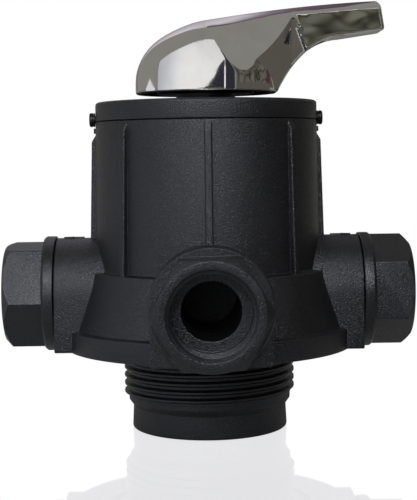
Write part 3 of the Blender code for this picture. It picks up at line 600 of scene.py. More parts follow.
def make_dial(look, paint):
    plate = turned("dial_plate_disc", rounded([
        (PLATE_OUTER, PLATE_TOP, 0.15),
        (PLATE_OUTER, PLATE_FOOT, 0.05),
        (PLATE_INNER, PLATE_FOOT, 0.05),
        (PLATE_INNER, PLATE_TOP, 0.15),
    ]))
    piece(plate, "body", "dial", look, "dial_plate")
    level = (PLATE_TOP + MARK_HEIGHTS[0], PLATE_TOP + MARK_HEIGHTS[1])
    piece(join("dial_marks", scale_marks(level) + position_dots(level)), "body", "dial", paint)


def screw_profile():
    """A pan-head screw with a washer face, as (radius, distance from the valve axis) corners."""
    head = SCREW_HEAD_END
    neck = SCREW_RADIUS - SCREW_NECK_DEPTH
    washer_top, washer_foot = SCREW_WASHER
    return rounded([
        (0.0, head),
        (SCREW_RADIUS, head, 1.1),
        (SCREW_RADIUS, head - SCREW_HEAD_DEPTH, 0.15),
        (neck, head - SCREW_HEAD_DEPTH, 0.1),
        (neck, head - washer_top, 0.1),
        (SCREW_RADIUS, head - washer_top, 0.15),
        (SCREW_RADIUS, head - washer_foot, 0.1),
        (SCREW_SHANK_RADIUS, head - washer_foot),
        (SCREW_SHANK_RADIUS, SCREW_TIP + SCREW_TIP_CHAMFER),
        (SCREW_TIP_RADIUS, SCREW_TIP),
        (0.0, SCREW_TIP),
    ])


def make_screws(look):
    a, b = SCREW_SLOT_HALF
    for side in ("left", "right"):
        screw = turned(f"pan_head_screw_{side}", screw_profile(), 64)
        for quarter in (0.0, 90.0):
            outline = rounded([(-a, -b, 0.1), (a, -b, 0.1), (a, b, 0.1), (-a, b, 0.1)])
            slot = drawn_out("slot", outline, (SCREW_HEAD_END - SCREW_SLOT_DEPTH, SCREW_HEAD_END + OVERLAP))
            turn = Matrix.Rotation(math.radians(quarter + SCREW_SLOT_TURN), 4, "Z")
            combine(screw, "DIFFERENCE", moved(slot, turn))
        moved(screw, along("X", PORTS[side][0]) @ Matrix.Translation((0.0, SCREW_Z, 0.0)))
        piece(screw, "body", "screw_steel", look, f"lock_screw_{side}")


# ---------------------------------------------------------------- port adapters

def adapter_profile():
    """Hexagon, collar, grooved plug and bore, as (radius, distance from the valve axis) corners."""
    lip = MOUTH_RADIUS - PORT_THREAD_CREST
    groove_end, groove_start = RING_GROOVE
    return rounded([
        (HEX_FACE_RADIUS, PORT_END, 0.4),
        (HEX_CORNER, HEX_CHAMFER),
        (HEX_CORNER, COLLAR_END, 0.3),
        (PORT_COLLAR_RADIUS, COLLAR_END - COLLAR_FALL, 0.5),
        (PORT_COLLAR_RADIUS, BOSS_END + CLEARANCE, 0.35),
        (SEAT_RADIUS, BOSS_END + CLEARANCE),
        (SEAT_RADIUS, groove_start),
        (RING_GROOVE_RADIUS, groove_start),
        (RING_GROOVE_RADIUS, groove_end),
        (SEAT_RADIUS, groove_end),
        (SEAT_RADIUS, PORT_SEAT, 0.6),
        (PORT_BORE, PORT_SEAT, 0.4),
        (PORT_BORE, PORT_THREAD_FLOOR, 0.5),
        (PORT_THREAD_CREST, PORT_THREAD_FLOOR, 0.3),
        (PORT_THREAD_CREST, PORT_END - lip, 0.2),
        (MOUTH_RADIUS, PORT_END, 0.35),
    ])


def hexagon_sleeve(facet):
    """What is left of a round sleeve outside a hexagon: it cuts the adapter's six faces."""
    low, high = COLLAR_END, PORT_END + OVERLAP
    sleeve = rod("sleeve", HEX_SLEEVE_RADIUS, (low, high))
    corners = [(*polar(HEX_CORNER, facet + 30.0 + 60.0 * i), 0.6) for i in range(6)]
    hexagon = drawn_out("hexagon", rounded(corners), (low - OVERLAP, high + OVERLAP))
    return combine(sleeve, "DIFFERENCE", hexagon)


def make_port(side, look):
    turn, facet = PORTS[side]
    port = turned(f"port_adapter_{side}_moulding", adapter_profile())
    combine(port, "DIFFERENCE", hexagon_sleeve(facet))
    turns = (PORT_END - PORT_THREAD_START) / PORT_PITCH
    combine(port, "DIFFERENCE", ridge("groove", PORT_THREAD, PORT_PITCH, PORT_THREAD_START, turns))
    moved(port, at_port(turn))
    piece(port, "body", "adapter_plastic", look, f"port_adapter_{side}")


# ---------------------------------------------------------------- handle

# Crown: the dome's foot and rise with the crest line's slope and sag, and the back's fall to its sides
CREST = (143.0, 27.5, 0.168, 0.00089)
DOME_HALF_WIDTH = 50.0
DOME_TO_BACK = (-9.0, 5.0)
BACK_DROP = (0.0068, 0.0003, 0.0000045)
BACK_DROP_LIMIT = 0.029

# Underside: a curve through the first three points, steered by the second, then a straight line
LEVER_TIP = LEVER_END - 0.8
THROAT = ((HUB_RADIUS + 0.1, HANDLE_FOOT), (40.5, 162.0), (56.0, 162.8), (LEVER_TIP, 165.4))

# Lever: half-width, its top edge's height at the axis and slope, its flare there, and its leaning end
LEVER_HALF = 10.5
LEVER_EDGE = (164.0, 0.22)
LEVER_EDGE_REACH = (-20.0, 2.0)
LEVER_FLARE = 0.1
LEVER_OVERLAP = 1.0
LEVER_END_FACE = (165.2, 11.4, 2.0)

# Web from the hub to the lever: where it starts, its slanting end, its ridge and how it draws in below
WEB_START = 18.0
WEB_END = (37.5, 169.5, 0.46)
RIDGE_START = 17.2
RIDGE_FOOT = 151.6
RIDGE_TOP = 170.5
RIDGE_RISE = (0.482, 0.0308)
UNDERCUT = 0.42

# Hollow sides: a leaning round scoop, which fades out along the lever
SCOOP_RADIUS = 78.1
SCOOP_CENTRE = (52.1, 89.1)
SCOOP_LEAN = (0.145, 0.198)
SCOOP_LEVEL = 167.0
SCOOP_FADE = (40.0, 52.0)
SCOOP_FADE_DEPTH = 4.0

# Well and bore under the hub, and the set screw's hole
WELL_RADIUS = 23.8
WELL_HALF_WIDTH = 3.3
WELL_ROOF = 150.0
BORE_ROOF = 153.2
SET_SCREW_Z = 145.6
SET_SCREW_HOLE = 2.8

# Roundings where surfaces meet. The crown's edge is softest on the dome and sharper at both ends.
SOFT = {"lever": 1.2, "web": 0.8, "scoop": 0.7, "underside": 1.2, "end": 1.3, "foot": 1.0, "hollow": 0.5}
CROWN_SOFT = (3.8, 2.9)
CROWN_SOFT_FADE = (2.0, 14.0)
REAR_SOFT = (0.2, 0.8)
REAR_SOFT_FADE = (-29.0, -17.0)

# Scales that bring slanting fields back to true distance, and the least slope that settling counts on
SLANT_SCALE = 0.9
SCOOP_SCALE = 0.93
LEAST_SLOPE = 0.05

GRID_LOW = (-31.0, -31.2, 138.6)
GRID_HIGH = (77.2, 31.2, 180.2)


def smooth_max(a, b, radius):
    """The larger of two fields, rounded where they cross."""
    blend = np.maximum(radius - np.abs(a - b), 0.0) / radius
    return np.maximum(a, b) + blend * blend * radius / 4


def smooth_min(a, b, radius):
    return -smooth_max(-a, -b, radius)


def smooth_step(value, start, end):
    part = np.clip((value - start) / (end - start), 0.0, 1.0)
    return part * part * (3 - 2 * part)


def crown_field(x, y, z):
    """Above zero over the handle's top: a dome behind the axis and a crested back towards the lever."""
    shoulder, rise, slope, sag = CREST
    inner = np.clip(1.0 - (x / HUB_RADIUS) ** 2, 0.0, 1.0)
    lifted = np.maximum(z - shoulder - slope * x * inner * inner, 0.0) / rise
    dome = (np.sqrt((x / HUB_RADIUS) ** 2 + (y / DOME_HALF_WIDTH) ** 2 + lifted ** 2) - 1.0) * HUB_RADIUS
    crest = shoulder + rise + slope * x - sag * x * x
    ahead = np.maximum(x, 0.0)
    drop = np.minimum(BACK_DROP[0] + BACK_DROP[1] * ahead + BACK_DROP[2] * ahead ** 2, BACK_DROP_LIMIT)
    back = z - crest + drop * y * y
    part = smooth_step(x, *DOME_TO_BACK)
    return dome * (1.0 - part) + back * part


def scoop_surface(x, z):
    """Half the width of the hollow side between the hub and the lever."""
    lift = z - SCOOP_LEVEL
    centre_x = SCOOP_CENTRE[0] - SCOOP_LEAN[0] * lift
    centre_y = SCOOP_CENTRE[1] - SCOOP_LEAN[1] * lift
    reach = np.minimum(0.0, x - centre_x)
    return centre_y - np.sqrt(np.maximum(SCOOP_RADIUS ** 2 - reach * reach, 0.0))


def throat_level(x):
    """Height and slope of the underside between the hub and the lever."""
    (x0, z0), (x1, z1), (x2, z2), (x3, z3) = THROAT
    a = x0 - 2 * x1 + x2
    b = 2 * (x1 - x0)
    t = np.clip((-b + np.sqrt(np.maximum(b * b + 4 * a * (x - x0), 0.0))) / (2 * a), 0.0, 1.0)
    level = (1 - t) ** 2 * z0 + 2 * t * (1 - t) * z1 + t * t * z2
    slope = (2 * (1 - t) * (z1 - z0) + 2 * t * (z2 - z1)) / (2 * (1 - t) * (x1 - x0) + 2 * t * (x2 - x1))
    straight = z2 + (x - x2) * (z3 - z2) / (x3 - x2)
    level = np.where(x > x2, straight, level)
    level = np.where(x < x0, z0 + (x - x0) * (z1 - z0) / (x1 - x0), level)
    return level, slope


def past_web(x, z):
    """Above zero on the lever's side of the slanting plane where the web ends."""
    place, level, lean = WEB_END
    return (x - place + lean * (z - level)) * SLANT_SCALE


def lever_field(x, side, z):
    """The lever's two sides, a little wider at its top edge. It starts where the web ends."""
    edge_z = LEVER_EDGE[0] + LEVER_EDGE[1] * x
    lever = side - (LEVER_HALF + LEVER_FLARE * np.clip(z - edge_z, *LEVER_EDGE_REACH))
    return np.maximum(lever, -past_web(x, z) - LEVER_OVERLAP)


def web_field(x, side, z):
    """The web between the hub and the lever. Its sides are hollow and draw in below a rising ridge."""
    past = np.maximum(x - RIDGE_START, 0.0)
    rise, bend = RIDGE_RISE
    ridge_z = np.minimum(RIDGE_FOOT + bend * past * past + rise * past, RIDGE_TOP)
    under = np.maximum(ridge_z - z, 0.0)
    web = (side - scoop_surface(x, np.maximum(z, ridge_z)) + UNDERCUT * under) * SLANT_SCALE
    return np.maximum(web, np.maximum(past_web(x, z), WEB_START - x))


def hollow_field(x, y, z):
    """A ring-shaped well under the hub, the bore over the collar and the set screw's hole."""
    radius = np.hypot(x, y)
    well = np.maximum(np.abs(radius - WELL_RADIUS) - WELL_HALF_WIDTH, z - WELL_ROOF)
    bore = np.maximum(radius - (COLLAR_RADIUS + CLEARANCE), z - BORE_ROOF)
    hole = np.maximum(np.hypot(x, z - SET_SCREW_Z) - SET_SCREW_HOLE, -y)
    return np.minimum(np.minimum(well, bore), hole)


def end_face(x, z):
    """The lever's end, which leans back a little towards its top."""
    level, run, lean = LEVER_END_FACE
    return ((x - LEVER_TIP) * run + (z - level) * lean) / math.hypot(run, lean)


def handle_field(x, y, z):
    """Signed distance, roughly, to the handle's surface: below zero inside."""
    side = np.abs(y)
    hub = np.hypot(x, y) - HUB_RADIUS
    solid = smooth_min(hub, lever_field(x, side, z), SOFT["lever"])
    solid = smooth_min(solid, web_field(x, side, z), SOFT["web"])
    scoop = scoop_surface(x, z) + SCOOP_FADE_DEPTH * smooth_step(x, *SCOOP_FADE)
    solid = smooth_max(solid, (side - scoop) * SCOOP_SCALE, SOFT["scoop"])
    softness = CROWN_SOFT[0] - CROWN_SOFT[1] * smooth_step(x, *CROWN_SOFT_FADE)
    softness = softness * (REAR_SOFT[0] + REAR_SOFT[1] * smooth_step(x, *REAR_SOFT_FADE))
    solid = smooth_max(solid, crown_field(x, y, z), softness)
    level, slope = throat_level(x)
    solid = smooth_max(solid, (level - z) / np.sqrt(1.0 + slope * slope), SOFT["underside"])
    solid = smooth_max(solid, end_face(x, z), SOFT["end"])
    solid = smooth_max(solid, HANDLE_FOOT - z, SOFT["foot"])
    return smooth_max(solid, -hollow_field(x, y, z), SOFT["hollow"])


def gradient(field, points, step=0.02):
    slopes = []
    for axis in range(3):
        offset = np.zeros(3)
        offset[axis] = step
        slopes.append(field(*(points + offset).T) - field(*(points - offset).T))
    return np.stack(slopes, axis=1) / (2 * step)


def settle(field, points, rounds):
    """Move points straight onto the surface."""
    for _ in range(rounds):
        slopes = gradient(field, points)
        length = np.maximum((slopes ** 2).sum(axis=1), LEAST_SLOPE)
        points = points - slopes * (field(*points.T) / length)[:, None]
    return points


def surface_net(name, field, low, high, cell):
    """A quad mesh of the surface where a field is zero, with its points settled onto that surface."""
    low = np.array(low)
    counts = np.ceil((np.array(high) - low) / cell).astype(int)
    grid = np.meshgrid(*[low[k] + cell * np.arange(counts[k]) for k in range(3)], indexing="ij")
    inside = (field(*grid) < 0).astype(np.int8)
    corners = sum(
        inside[i:counts[0] - 1 + i, j:counts[1] - 1 + j, k:counts[2] - 1 + k]
        for i in (0, 1) for j in (0, 1) for k in (0, 1)
    )
    active = (corners > 0) & (corners < 8)
    index = np.full(active.shape, -1)
    index[active] = np.arange(active.sum())
    points = settle(field, low + (np.argwhere(active) + 0.5) * cell, 3)
    quads = []
    for axis in range(3):
        change = np.diff(inside, axis=axis)
        u, v = np.eye(3, dtype=int)[[(axis + 1) % 3, (axis + 2) % 3]]
        for sign in (-1, 1):
            at = np.argwhere(change == sign)
            ring = [at - u - v, at - v, at, at - u]
            faces = np.stack([index[tuple(c.T)] for c in ring], axis=1)
            quads.append(faces if sign < 0 else faces[:, ::-1])
    quads = np.concatenate(quads)
    for _ in range(2):
        total = np.zeros_like(points)
        share = np.zeros(len(points))
        for k in range(4):
            np.add.at(total, quads[:, k], points[quads].mean(axis=1))
            np.add.at(share, quads[:, k], 1.0)
        points = settle(field, 0.5 * points + 0.5 * total / share[:, None], 2)
    mesh = bpy.data.meshes.new(name)
    mesh.from_pydata(points.tolist(), [], quads.tolist())
    mesh.update()
    made = bpy.data.objects.new(name, mesh)
    OBJECT.objects.link(made)
    return made


def make_handle(look):
    handle = surface_net("lever_handle_casting", handle_field, GRID_LOW, GRID_HIGH, HANDLE_CELL)
    piece(handle, "turning_works", "chrome", look, "lever_handle")


def make_collar(look):
    collar = turned("handle_collar_turned", rounded([
        (COLLAR_RADIUS, COLLAR_TOP, 0.5),
        (COLLAR_RADIUS, COLLAR_FOOT, 0.5),
        (COLLAR_BORE, COLLAR_FOOT, 0.2),
        (COLLAR_BORE, COLLAR_TOP, 0.2),
    ]))
    piece(collar, "turning_works", "collar_plastic", look, "handle_collar")


def make_seals(look):
    """Round seals that show under the band and in the neck."""
    for node in ("riser_oring", "tank_oring"):
        low, high = extent(node, 2)
        section = (high - low) / 2
        middle = extent(node, 0)[1] - section
        arc = [polar(section, -360.0 * i / SEAL_STEPS) for i in range(SEAL_STEPS)]
        made = turned(f"{node}_round", [(middle + a, (low + high) / 2 + b) for a, b in arc])
        piece(made, "body", "seal_rubber", look, node)


def make_retainer(look):
    low, high = extent("riser_retainer", 2)
    outer = extent("riser_retainer", 0)[1]
    ring = turned("riser_retainer_ring", rounded([
        (outer, high, 0.3),
        (outer, low, 0.3),
        (outer - RETAINER_WALL, low, 0.5),
        (outer - RETAINER_WALL, high, 0.3),
    ]))
    piece(ring, "body", "stem_plastic", look, "riser_retainer")


# ---------------------------------------------------------------- materials

class Nodes:
    """Short names for building a shader."""

    def __init__(self, name):
        self.look = bpy.data.materials.new(name)
        self.look.use_nodes = True
        self.tree = self.look.node_tree
        self.shader = self.tree.nodes["Principled BSDF"]
        self.place = self.add("ShaderNodeTexCoord").outputs["Object"]

    def add(self, kind, **values):
        node = self.tree.nodes.new(kind)
        for key, value in values.items():
            setattr(node, key, value)
        return node

    def link(self, output, target):
        self.tree.links.new(output, target)

    def noise(self, size, detail=2.0, roughness=0.5, distortion=0.0):
        """Noise whose features measure about size millimetres."""
        node = self.add("ShaderNodeTexNoise")
        node.inputs["Scale"].default_value = 1.0 / (size * MM)
        node.inputs["Detail"].default_value = detail
        node.inputs["Roughness"].default_value = roughness
        node.inputs["Distortion"].default_value = distortion
        self.link(self.place, node.inputs["Vector"])
        return node.outputs["Fac"]

    def remap(self, value, source, target):
        node = self.add("ShaderNodeMapRange")
        for name, number in zip(("From Min", "From Max", "To Min", "To Max"), (*source, *target)):
            node.inputs[name].default_value = number
        self.link(value, node.inputs["Value"])
        return node.outputs["Result"]

    def fade_out(self, length, start, end):
        """From 1 to 0 between two lengths in millimetres."""
        return self.remap(length, (start * MM, end * MM), (1.0, 0.0))

    def math(self, operation, first, second):
        node = self.add("ShaderNodeMath", operation=operation)
        for socket, value in zip(node.inputs, (first, second)):
            if isinstance(value, (int, float)):
                socket.default_value = value
            else:
                self.link(value, socket)
        return node.outputs["Value"]

    def mix(self, factor, first, second):
        node = self.add("ShaderNodeMix", data_type="RGBA")
        self.link(factor, node.inputs[0])
        for socket, value in ((node.inputs[6], first), (node.inputs[7], second)):
            if isinstance(value, tuple):
                socket.default_value = (*value, 1.0)
            else:
                self.link(value, socket)
        return node.outputs[2]

    def edges(self, radius):
        """Near 1 on convex and concave edges, 0 on flat ground."""
        bevel = self.add("ShaderNodeBevel", samples=6)
        bevel.inputs["Radius"].default_value = radius * MM
        straight = self.add("ShaderNodeNewGeometry")
        dot = self.add("ShaderNodeVectorMath", operation="DOT_PRODUCT")
        self.link(bevel.outputs["Normal"], dot.inputs[0])
        self.link(straight.outputs["Normal"], dot.inputs[1])
        return self.remap(dot.outputs["Value"], (1.0, 0.93), (0.0, 1.0))

    def painted_underside_shade(self):
        """1 on the handle's foot face and inside its hollow: the mask for the near-black colour and added
        roughness painted there as the shade under the hub.
        """
        from_axis = self.add("ShaderNodeVectorMath", operation="SUBTRACT")
        from_axis.inputs[1].default_value = AXIS
        self.link(self.place, from_axis.inputs[0])
        flat = self.add("ShaderNodeVectorMath", operation="MULTIPLY")
        flat.inputs[1].default_value = (1.0, 1.0, 0.0)
        self.link(from_axis.outputs["Vector"], flat.inputs[0])
        radius = self.add("ShaderNodeVectorMath", operation="LENGTH")
        self.link(flat.outputs["Vector"], radius.inputs[0])
        split = self.add("ShaderNodeSeparateXYZ")
        self.link(from_axis.outputs["Vector"], split.inputs[0])
        within = WELL_RADIUS + WELL_HALF_WIDTH
        hollow = self.fade_out(radius.outputs["Value"], within + 0.1, within + 0.3)
        roof = self.fade_out(split.outputs["Z"], BORE_ROOF + 0.1, BORE_ROOF + 0.3)
        foot = self.fade_out(split.outputs["Z"], HANDLE_FOOT + 0.3, HANDLE_FOOT + 0.6)
        return self.math("MAXIMUM", self.math("MULTIPLY", hollow, roof), foot)

    def bump(self, height, depth, soft=0.0):
        """Relief of a depth in millimetres, over edges that look rounded by the soft radius."""
        node = self.add("ShaderNodeBump")
        node.inputs["Strength"].default_value = 1.0
        node.inputs["Distance"].default_value = depth * MM
        self.link(height, node.inputs["Height"])
        if soft:
            bevel = self.add("ShaderNodeBevel", samples=4)
            bevel.inputs["Radius"].default_value = soft * MM
            self.link(bevel.outputs["Normal"], node.inputs["Normal"])
        return node.outputs["Normal"]

    def finish(self, colour=None, roughness=None, normal=None, **values):
        sockets = self.shader.inputs
        for socket, value in ((sockets["Base Color"], colour), (sockets["Roughness"], roughness),
                              (sockets["Normal"], normal)):
            if value is not None:
                self.link(value, socket)
        for name, value in values.items():
            sockets[name.replace("_", " ")].default_value = value
        return self.look


def moulded_plastic(name, colour, roughness, grain):
    """Black moulding with a spark-eroded grain, faint flow marks and paler edges, partly rubbed wear and partly a
    painted edge highlight.
    """
    n = Nodes(name)
    flow = n.noise(26.0, 3.0, 0.55, 0.4)
    speck = n.noise(0.5, 2.0, 0.6)
    light = tuple(c * 1.5 + 0.001 for c in colour)
    base = n.mix(n.remap(flow, (0.35, 0.7), (0.0, 1.0)), colour, light)
    base = n.mix(n.remap(speck, (0.5, 0.72), (0.0, 0.8)), base, tuple(c * 2.6 for c in colour))
    # Paler edges: rubbed wear broken up by noise, together with a painted highlight along convex and concave
    # edges.
    rub_and_edge_highlight = n.math("MULTIPLY", n.edges(0.45), n.remap(n.noise(3.0, 3.0, 0.6), (0.35, 0.65), (0.25, 0.9)))
    base = n.mix(rub_and_edge_highlight, base, (0.035, 0.036, 0.040))
    rough = n.remap(speck, (0.3, 0.7), (roughness - 0.08, roughness + 0.08))
    rough = n.math("ADD", rough, n.remap(flow, (0.3, 0.7), (-0.04, 0.04)))
    normal = n.bump(n.noise(0.5, 1.6, 0.6), 0.31 * grain, soft=0.3)
    return n.finish(base, rough, normal, Specular_IOR_Level=0.5, Specular_Tint=(0.88, 0.91, 1.0, 1.0))


def chrome_plate():
    """Polished chromium on a die casting: warm, with a slow ripple, faint wiping marks and painted shade on the
    foot face and in the hollow.
    """
    n = Nodes("chromium_plate")
    haze = n.noise(9.0, 3.0, 0.5, 0.6)
    wipe = n.noise(0.9, 3.0, 0.7, 1.5)
    colour = n.mix(n.remap(haze, (0.35, 0.7), (0.0, 1.0)), (0.80, 0.785, 0.765), (0.74, 0.725, 0.70))
    rough = n.math("ADD", n.remap(haze, (0.35, 0.7), (0.025, 0.06)), n.remap(wipe, (0.6, 0.8), (0.0, 0.05)))
    # Painted shade: the foot face and the hollow under the hub are coloured near black and made rougher.
    underside_shade_mask = n.painted_underside_shade()
    colour = n.mix(underside_shade_mask, colour, (0.012, 0.012, 0.013))
    rough = n.math("ADD", rough, n.math("MULTIPLY", underside_shade_mask, 0.4))
    ripple = n.bump(n.noise(13.0, 1.0, 0.4), 0.05)
    return n.finish(colour, rough, ripple, Metallic=1.0)


def metal(name, colour, roughness, size=0.4):
    n = Nodes(name)
    grain = n.noise(size, 3.0, 0.65)
    stain = n.noise(4.0, 3.0, 0.6)
    base = n.mix(n.remap(stain, (0.35, 0.7), (0.0, 1.0)), colour, tuple(c * 0.62 for c in colour))
    base = n.mix(n.edges(0.15), base, tuple(min(1.0, c * 1.9 + 0.03) for c in colour))
    rough = n.remap(grain, (0.3, 0.7), (roughness - 0.08, roughness + 0.1))
    return n.finish(base, rough, n.bump(grain, 0.02), Metallic=1.0)


def smooth_solid(name, colour, roughness, mottle, size=1.5, depth=0.02):
    """Rubber, ceramic, acetal and paint: a light mottle over a fine surface."""
    n = Nodes(name)
    cloud = n.noise(7.0, 3.0, 0.6)
    fine = n.noise(size, 3.0, 0.6)
    base = n.mix(n.remap(cloud, (0.3, 0.7), (0.0, 1.0)), colour, tuple(c * mottle for c in colour))
    rough = n.remap(fine, (0.3, 0.7), (roughness - 0.07, roughness + 0.07))
    return n.finish(base, rough, n.bump(fine, depth, soft=0.15))


LOOKS = {
    "body_plastic": moulded_plastic("body_moulding", (0.0034, 0.0035, 0.0043), 0.31, 1.0),
    "cover_plastic": moulded_plastic("cover_moulding", (0.0038, 0.0039, 0.0046), 0.34, 0.9),
    "adapter_plastic": moulded_plastic("adapter_moulding", (0.0033, 0.0034, 0.0041), 0.31, 0.65),
    "collar_plastic": moulded_plastic("collar_moulding", (0.0040, 0.0041, 0.0048), 0.40, 0.4),
    "chrome": chrome_plate(),
    "screw_steel": metal("blackened_steel", (0.03, 0.029, 0.028), 0.38),
    "inner_steel": metal("plain_steel", (0.50, 0.50, 0.49), 0.30),
    "seal_rubber": smooth_solid("seal_rubber", (0.012, 0.012, 0.013), 0.62, 1.5),
    "ceramic": smooth_solid("ceramic", (0.80, 0.78, 0.73), 0.22, 0.95),
    "stem_plastic": smooth_solid("acetal", (0.70, 0.69, 0.64), 0.38, 0.93),
    "dial": smooth_solid("dial_plate", (0.045, 0.050, 0.060), 0.36, 1.25),
}
PAINT = smooth_solid("dial_paint", (0.78, 0.78, 0.76), 0.45, 0.93)


# ---------------------------------------------------------------- studio

HUB_CENTRE = Vector((AXIS.x, AXIS.y, 0.155))
ROOM = (0.265, 0.265, 0.248)


def toward(azimuth, elevation, distance):
    """A point seen from the hub. Azimuth 0 is towards the front, and it grows to the right."""
    a = math.radians(azimuth)
    e = math.radians(elevation)
    direction = Vector((math.sin(a) * math.cos(e), -math.cos(a) * math.cos(e), math.sin(e)))
    return HUB_CENTRE + distance * direction


def glowing():
    """Light given off in each panel's own painted shade."""
    look = bpy.data.materials.new("glowing_panel")
    look.use_nodes = True
    tree = look.node_tree
    tree.nodes.clear()
    paint = tree.nodes.new("ShaderNodeAttribute")
    paint.attribute_name = "glow"
    glow = tree.nodes.new("ShaderNodeEmission")
    out = tree.nodes.new("ShaderNodeOutputMaterial")
    tree.links.new(paint.outputs["Color"], glow.inputs["Color"])
    tree.links.new(glow.outputs["Emission"], out.inputs["Surface"])
    return look


def panel(name, sides, low, high, distance, shade, look, steps=(40, 10)):
    """A curved panel between two azimuths. low and high give its edges' elevation at an azimuth, and shade
    gives its colour at an azimuth and elevation. The camera doesn't see it."""
    bm = bmesh.new()
    paint = bm.loops.layers.float_color.new("glow")
    rows = []
    for i in range(steps[0] + 1):
        azimuth = sides[0] + (sides[1] - sides[0]) * i / steps[0]
        row = []
        for k in range(steps[1] + 1):
            elevation = low(azimuth) + (high(azimuth) - low(azimuth)) * k / steps[1]
            vert = bm.verts.new(toward(azimuth, elevation, distance))
            row.append((vert, (*shade(azimuth, elevation), 1.0)))
        rows.append(row)
    for before, after in zip(rows, rows[1:]):
        for k in range(steps[1]):
            corners = (before[k], after[k], after[k + 1], before[k + 1])
            face = bm.faces.new([corner for corner, _ in corners])
            for loop, (_, colour) in zip(face.loops, corners):
                loop[paint] = colour
    mesh = bpy.data.meshes.new(name)
    bm.to_mesh(mesh)
    bm.free()
    mesh.materials.append(look)
    made = bpy.data.objects.new(name, mesh)
    STUDIO.objects.link(made)
    made.visible_camera = False


def area_light(name, direction, size, power):
    """A soft lamp that faces the valve and leaves the plated handle alone."""
    lamp = bpy.data.lights.new(name, "AREA")
    lamp.shape = "RECTANGLE"
    lamp.size, lamp.size_y = size
    lamp.energy = power
    holder = bpy.data.objects.new(name, lamp)
    STUDIO.objects.link(holder)
    holder.location = toward(*direction, 1.2)
    holder.rotation_euler = (HUB_CENTRE - holder.location).to_track_quat("-Z", "Y").to_euler()
    holder.light_linking.receiver_collection = LAMP_LIT


def ramp(value, stops):
    """Straight-line values between (place, number) stops."""
    return float(np.interp(value, [place for place, _ in stops], [number for _, number in stops]))


def softbox_shade(azimuth, elevation):
    """Pale blue at its left end and white towards the front, dimmer up its height and low down in front."""
    level = ramp(azimuth, ((-85, 0.60), (-60, 0.85), (-40, 1.05), (-20, 1.07), (30, 0.97)))
    level *= ramp(elevation, ((-20, 0.95), (0.5, 1.0), (3.5, 0.9), (6, 0.8)))
    level *= 1.0 - 0.65 * ramp(azimuth, ((-16, 0), (-5, 1))) * ramp(elevation, ((-2.5, 1), (-0.5, 0)))
    white = ramp(azimuth, ((-85, 0.0), (-30, 1.0)))
    return level * (0.84 + 0.14 * white), level * (0.87 + 0.12 * white), level


def blotches(level, colour, size, seed, width):
    """A surface in one colour broken by dark veins and paler patches."""
    def shade(azimuth, elevation):
        spot = Vector((azimuth / size[0], elevation / size[1], seed))
        vein = min(1.0, abs(noise.noise(spot)) / width)
        patch = 1.0 + 0.5 * noise.noise(spot * 0.6 + Vector((7.0, 3.0, 1.0)))
        share = level * patch * (0.12 + 0.88 * vein)
        return [share * part for part in colour]
    return shade


def backdrop_shade(azimuth, elevation):
    """The wall behind: grey near the table, lilac white above, and dull and rosy past its right end."""
    level = ramp(elevation, ((0, 0.20), (8, 0.24), (24, 0.62), (42, 0.80), (60, 0.60)))
    ends = ((-200, 0.15), (-193, 0.19), (-187, 0.33), (-183, 0.95), (-178, 0.80), (-165, 1.0))
    level *= ramp(azimuth, ends)
    rosy = ramp(azimuth, ((-190, 0.8), (-186, 0.15), (-183, 0.0), (-150, 0.0), (-140, 0.6)))
    return level * (0.97 - 0.12 * rosy), level * (0.92 - 0.40 * rosy), level * (1.0 - 0.22 * rosy)


def even(*colour):
    """One shade all over a panel."""
    return lambda azimuth, elevation: colour


def flat(elevation):
    """A panel edge at one elevation."""
    return lambda azimuth: elevation


def stepped(*stops):
    """A panel edge that follows (azimuth, elevation) stops."""
    return lambda azimuth: ramp(azimuth, stops)


# Panel distances, and where the panels end below the hub
NEAR = 0.42
BESIDE = 0.20
TABLE = flat(-21.0)
TABLE_BESIDE = flat(-37.5)

# Azimuths where one panel meets the next, from the softbox's left end to the right wall's far end
SOFTBOX_LEFT = -82.5
FRONT_LEFT = -2
SLIT_LEFT = 28
SLIT_RIGHT = 30.2
SOFTBOX_RIGHT = 32
WALL_LEFT = 45.6
WALL_RIGHT = 110
RIM_WIDTH = 0.22
RIM_OVERHANG = 1.1
SIDE_RIM_WIDTH = 1.3
ROSY_WIDTH = 10

softbox_top = stepped((-82.5, 0.6), (-81.5, 2.2), (-79, 3.2), (-75, 3.9), (-68, 4.45), (-57, 4.9),
                      (-39, 5.25), (-15, 5.5), (32, 5.7))
softbox_slant = stepped((-2, 0.7), (13, 2.0), (32, 4.0))
glint_top = stepped((-111, 0.9), (-100, 1.9), (-88, 0.9))


def softbox_rim(azimuth):
    return softbox_top(azimuth) + RIM_WIDTH


def make_softbox(look):
    """A long softbox to the left, with a dark rim. Its right end is cut by a slant."""
    dark = even(0.03, 0.03, 0.04)
    panel("softbox", (SOFTBOX_LEFT, FRONT_LEFT), TABLE, softbox_top, NEAR, softbox_shade, look)
    panel("softbox_end", (FRONT_LEFT, SOFTBOX_RIGHT), softbox_slant, softbox_top, NEAR, softbox_shade, look)
    rim = (SOFTBOX_LEFT - RIM_OVERHANG, SOFTBOX_RIGHT)
    panel("softbox_rim", rim, softbox_top, softbox_rim, NEAR, dark, look)
    panel("softbox_side", (SOFTBOX_LEFT - SIDE_RIM_WIDTH, SOFTBOX_LEFT), TABLE, softbox_rim, NEAR, dark, look)


def make_front(look):
    """What stands beside the camera: clutter on the table, a dark gap, a bright slit and a dark corner."""
    front = (FRONT_LEFT, SLIT_LEFT)
    clutter = blotches(0.17, (1.0, 1.0, 0.80), (2.2, 1.2), 2.0, 0.36)
    panel("front_clutter", front, TABLE, flat(0.3), NEAR, clutter, look, (90, 90))
    panel("front_dark", front, flat(0.3), softbox_slant, NEAR, even(0.030, 0.030, 0.042), look)
    panel("slit", (SLIT_LEFT, SLIT_RIGHT), TABLE, flat(2.7), NEAR, even(0.95, 0.93, 1.0), look)
    panel("dark_corner", (SLIT_RIGHT, WALL_LEFT), TABLE, flat(9), NEAR, even(0.032, 0.032, 0.046), look)


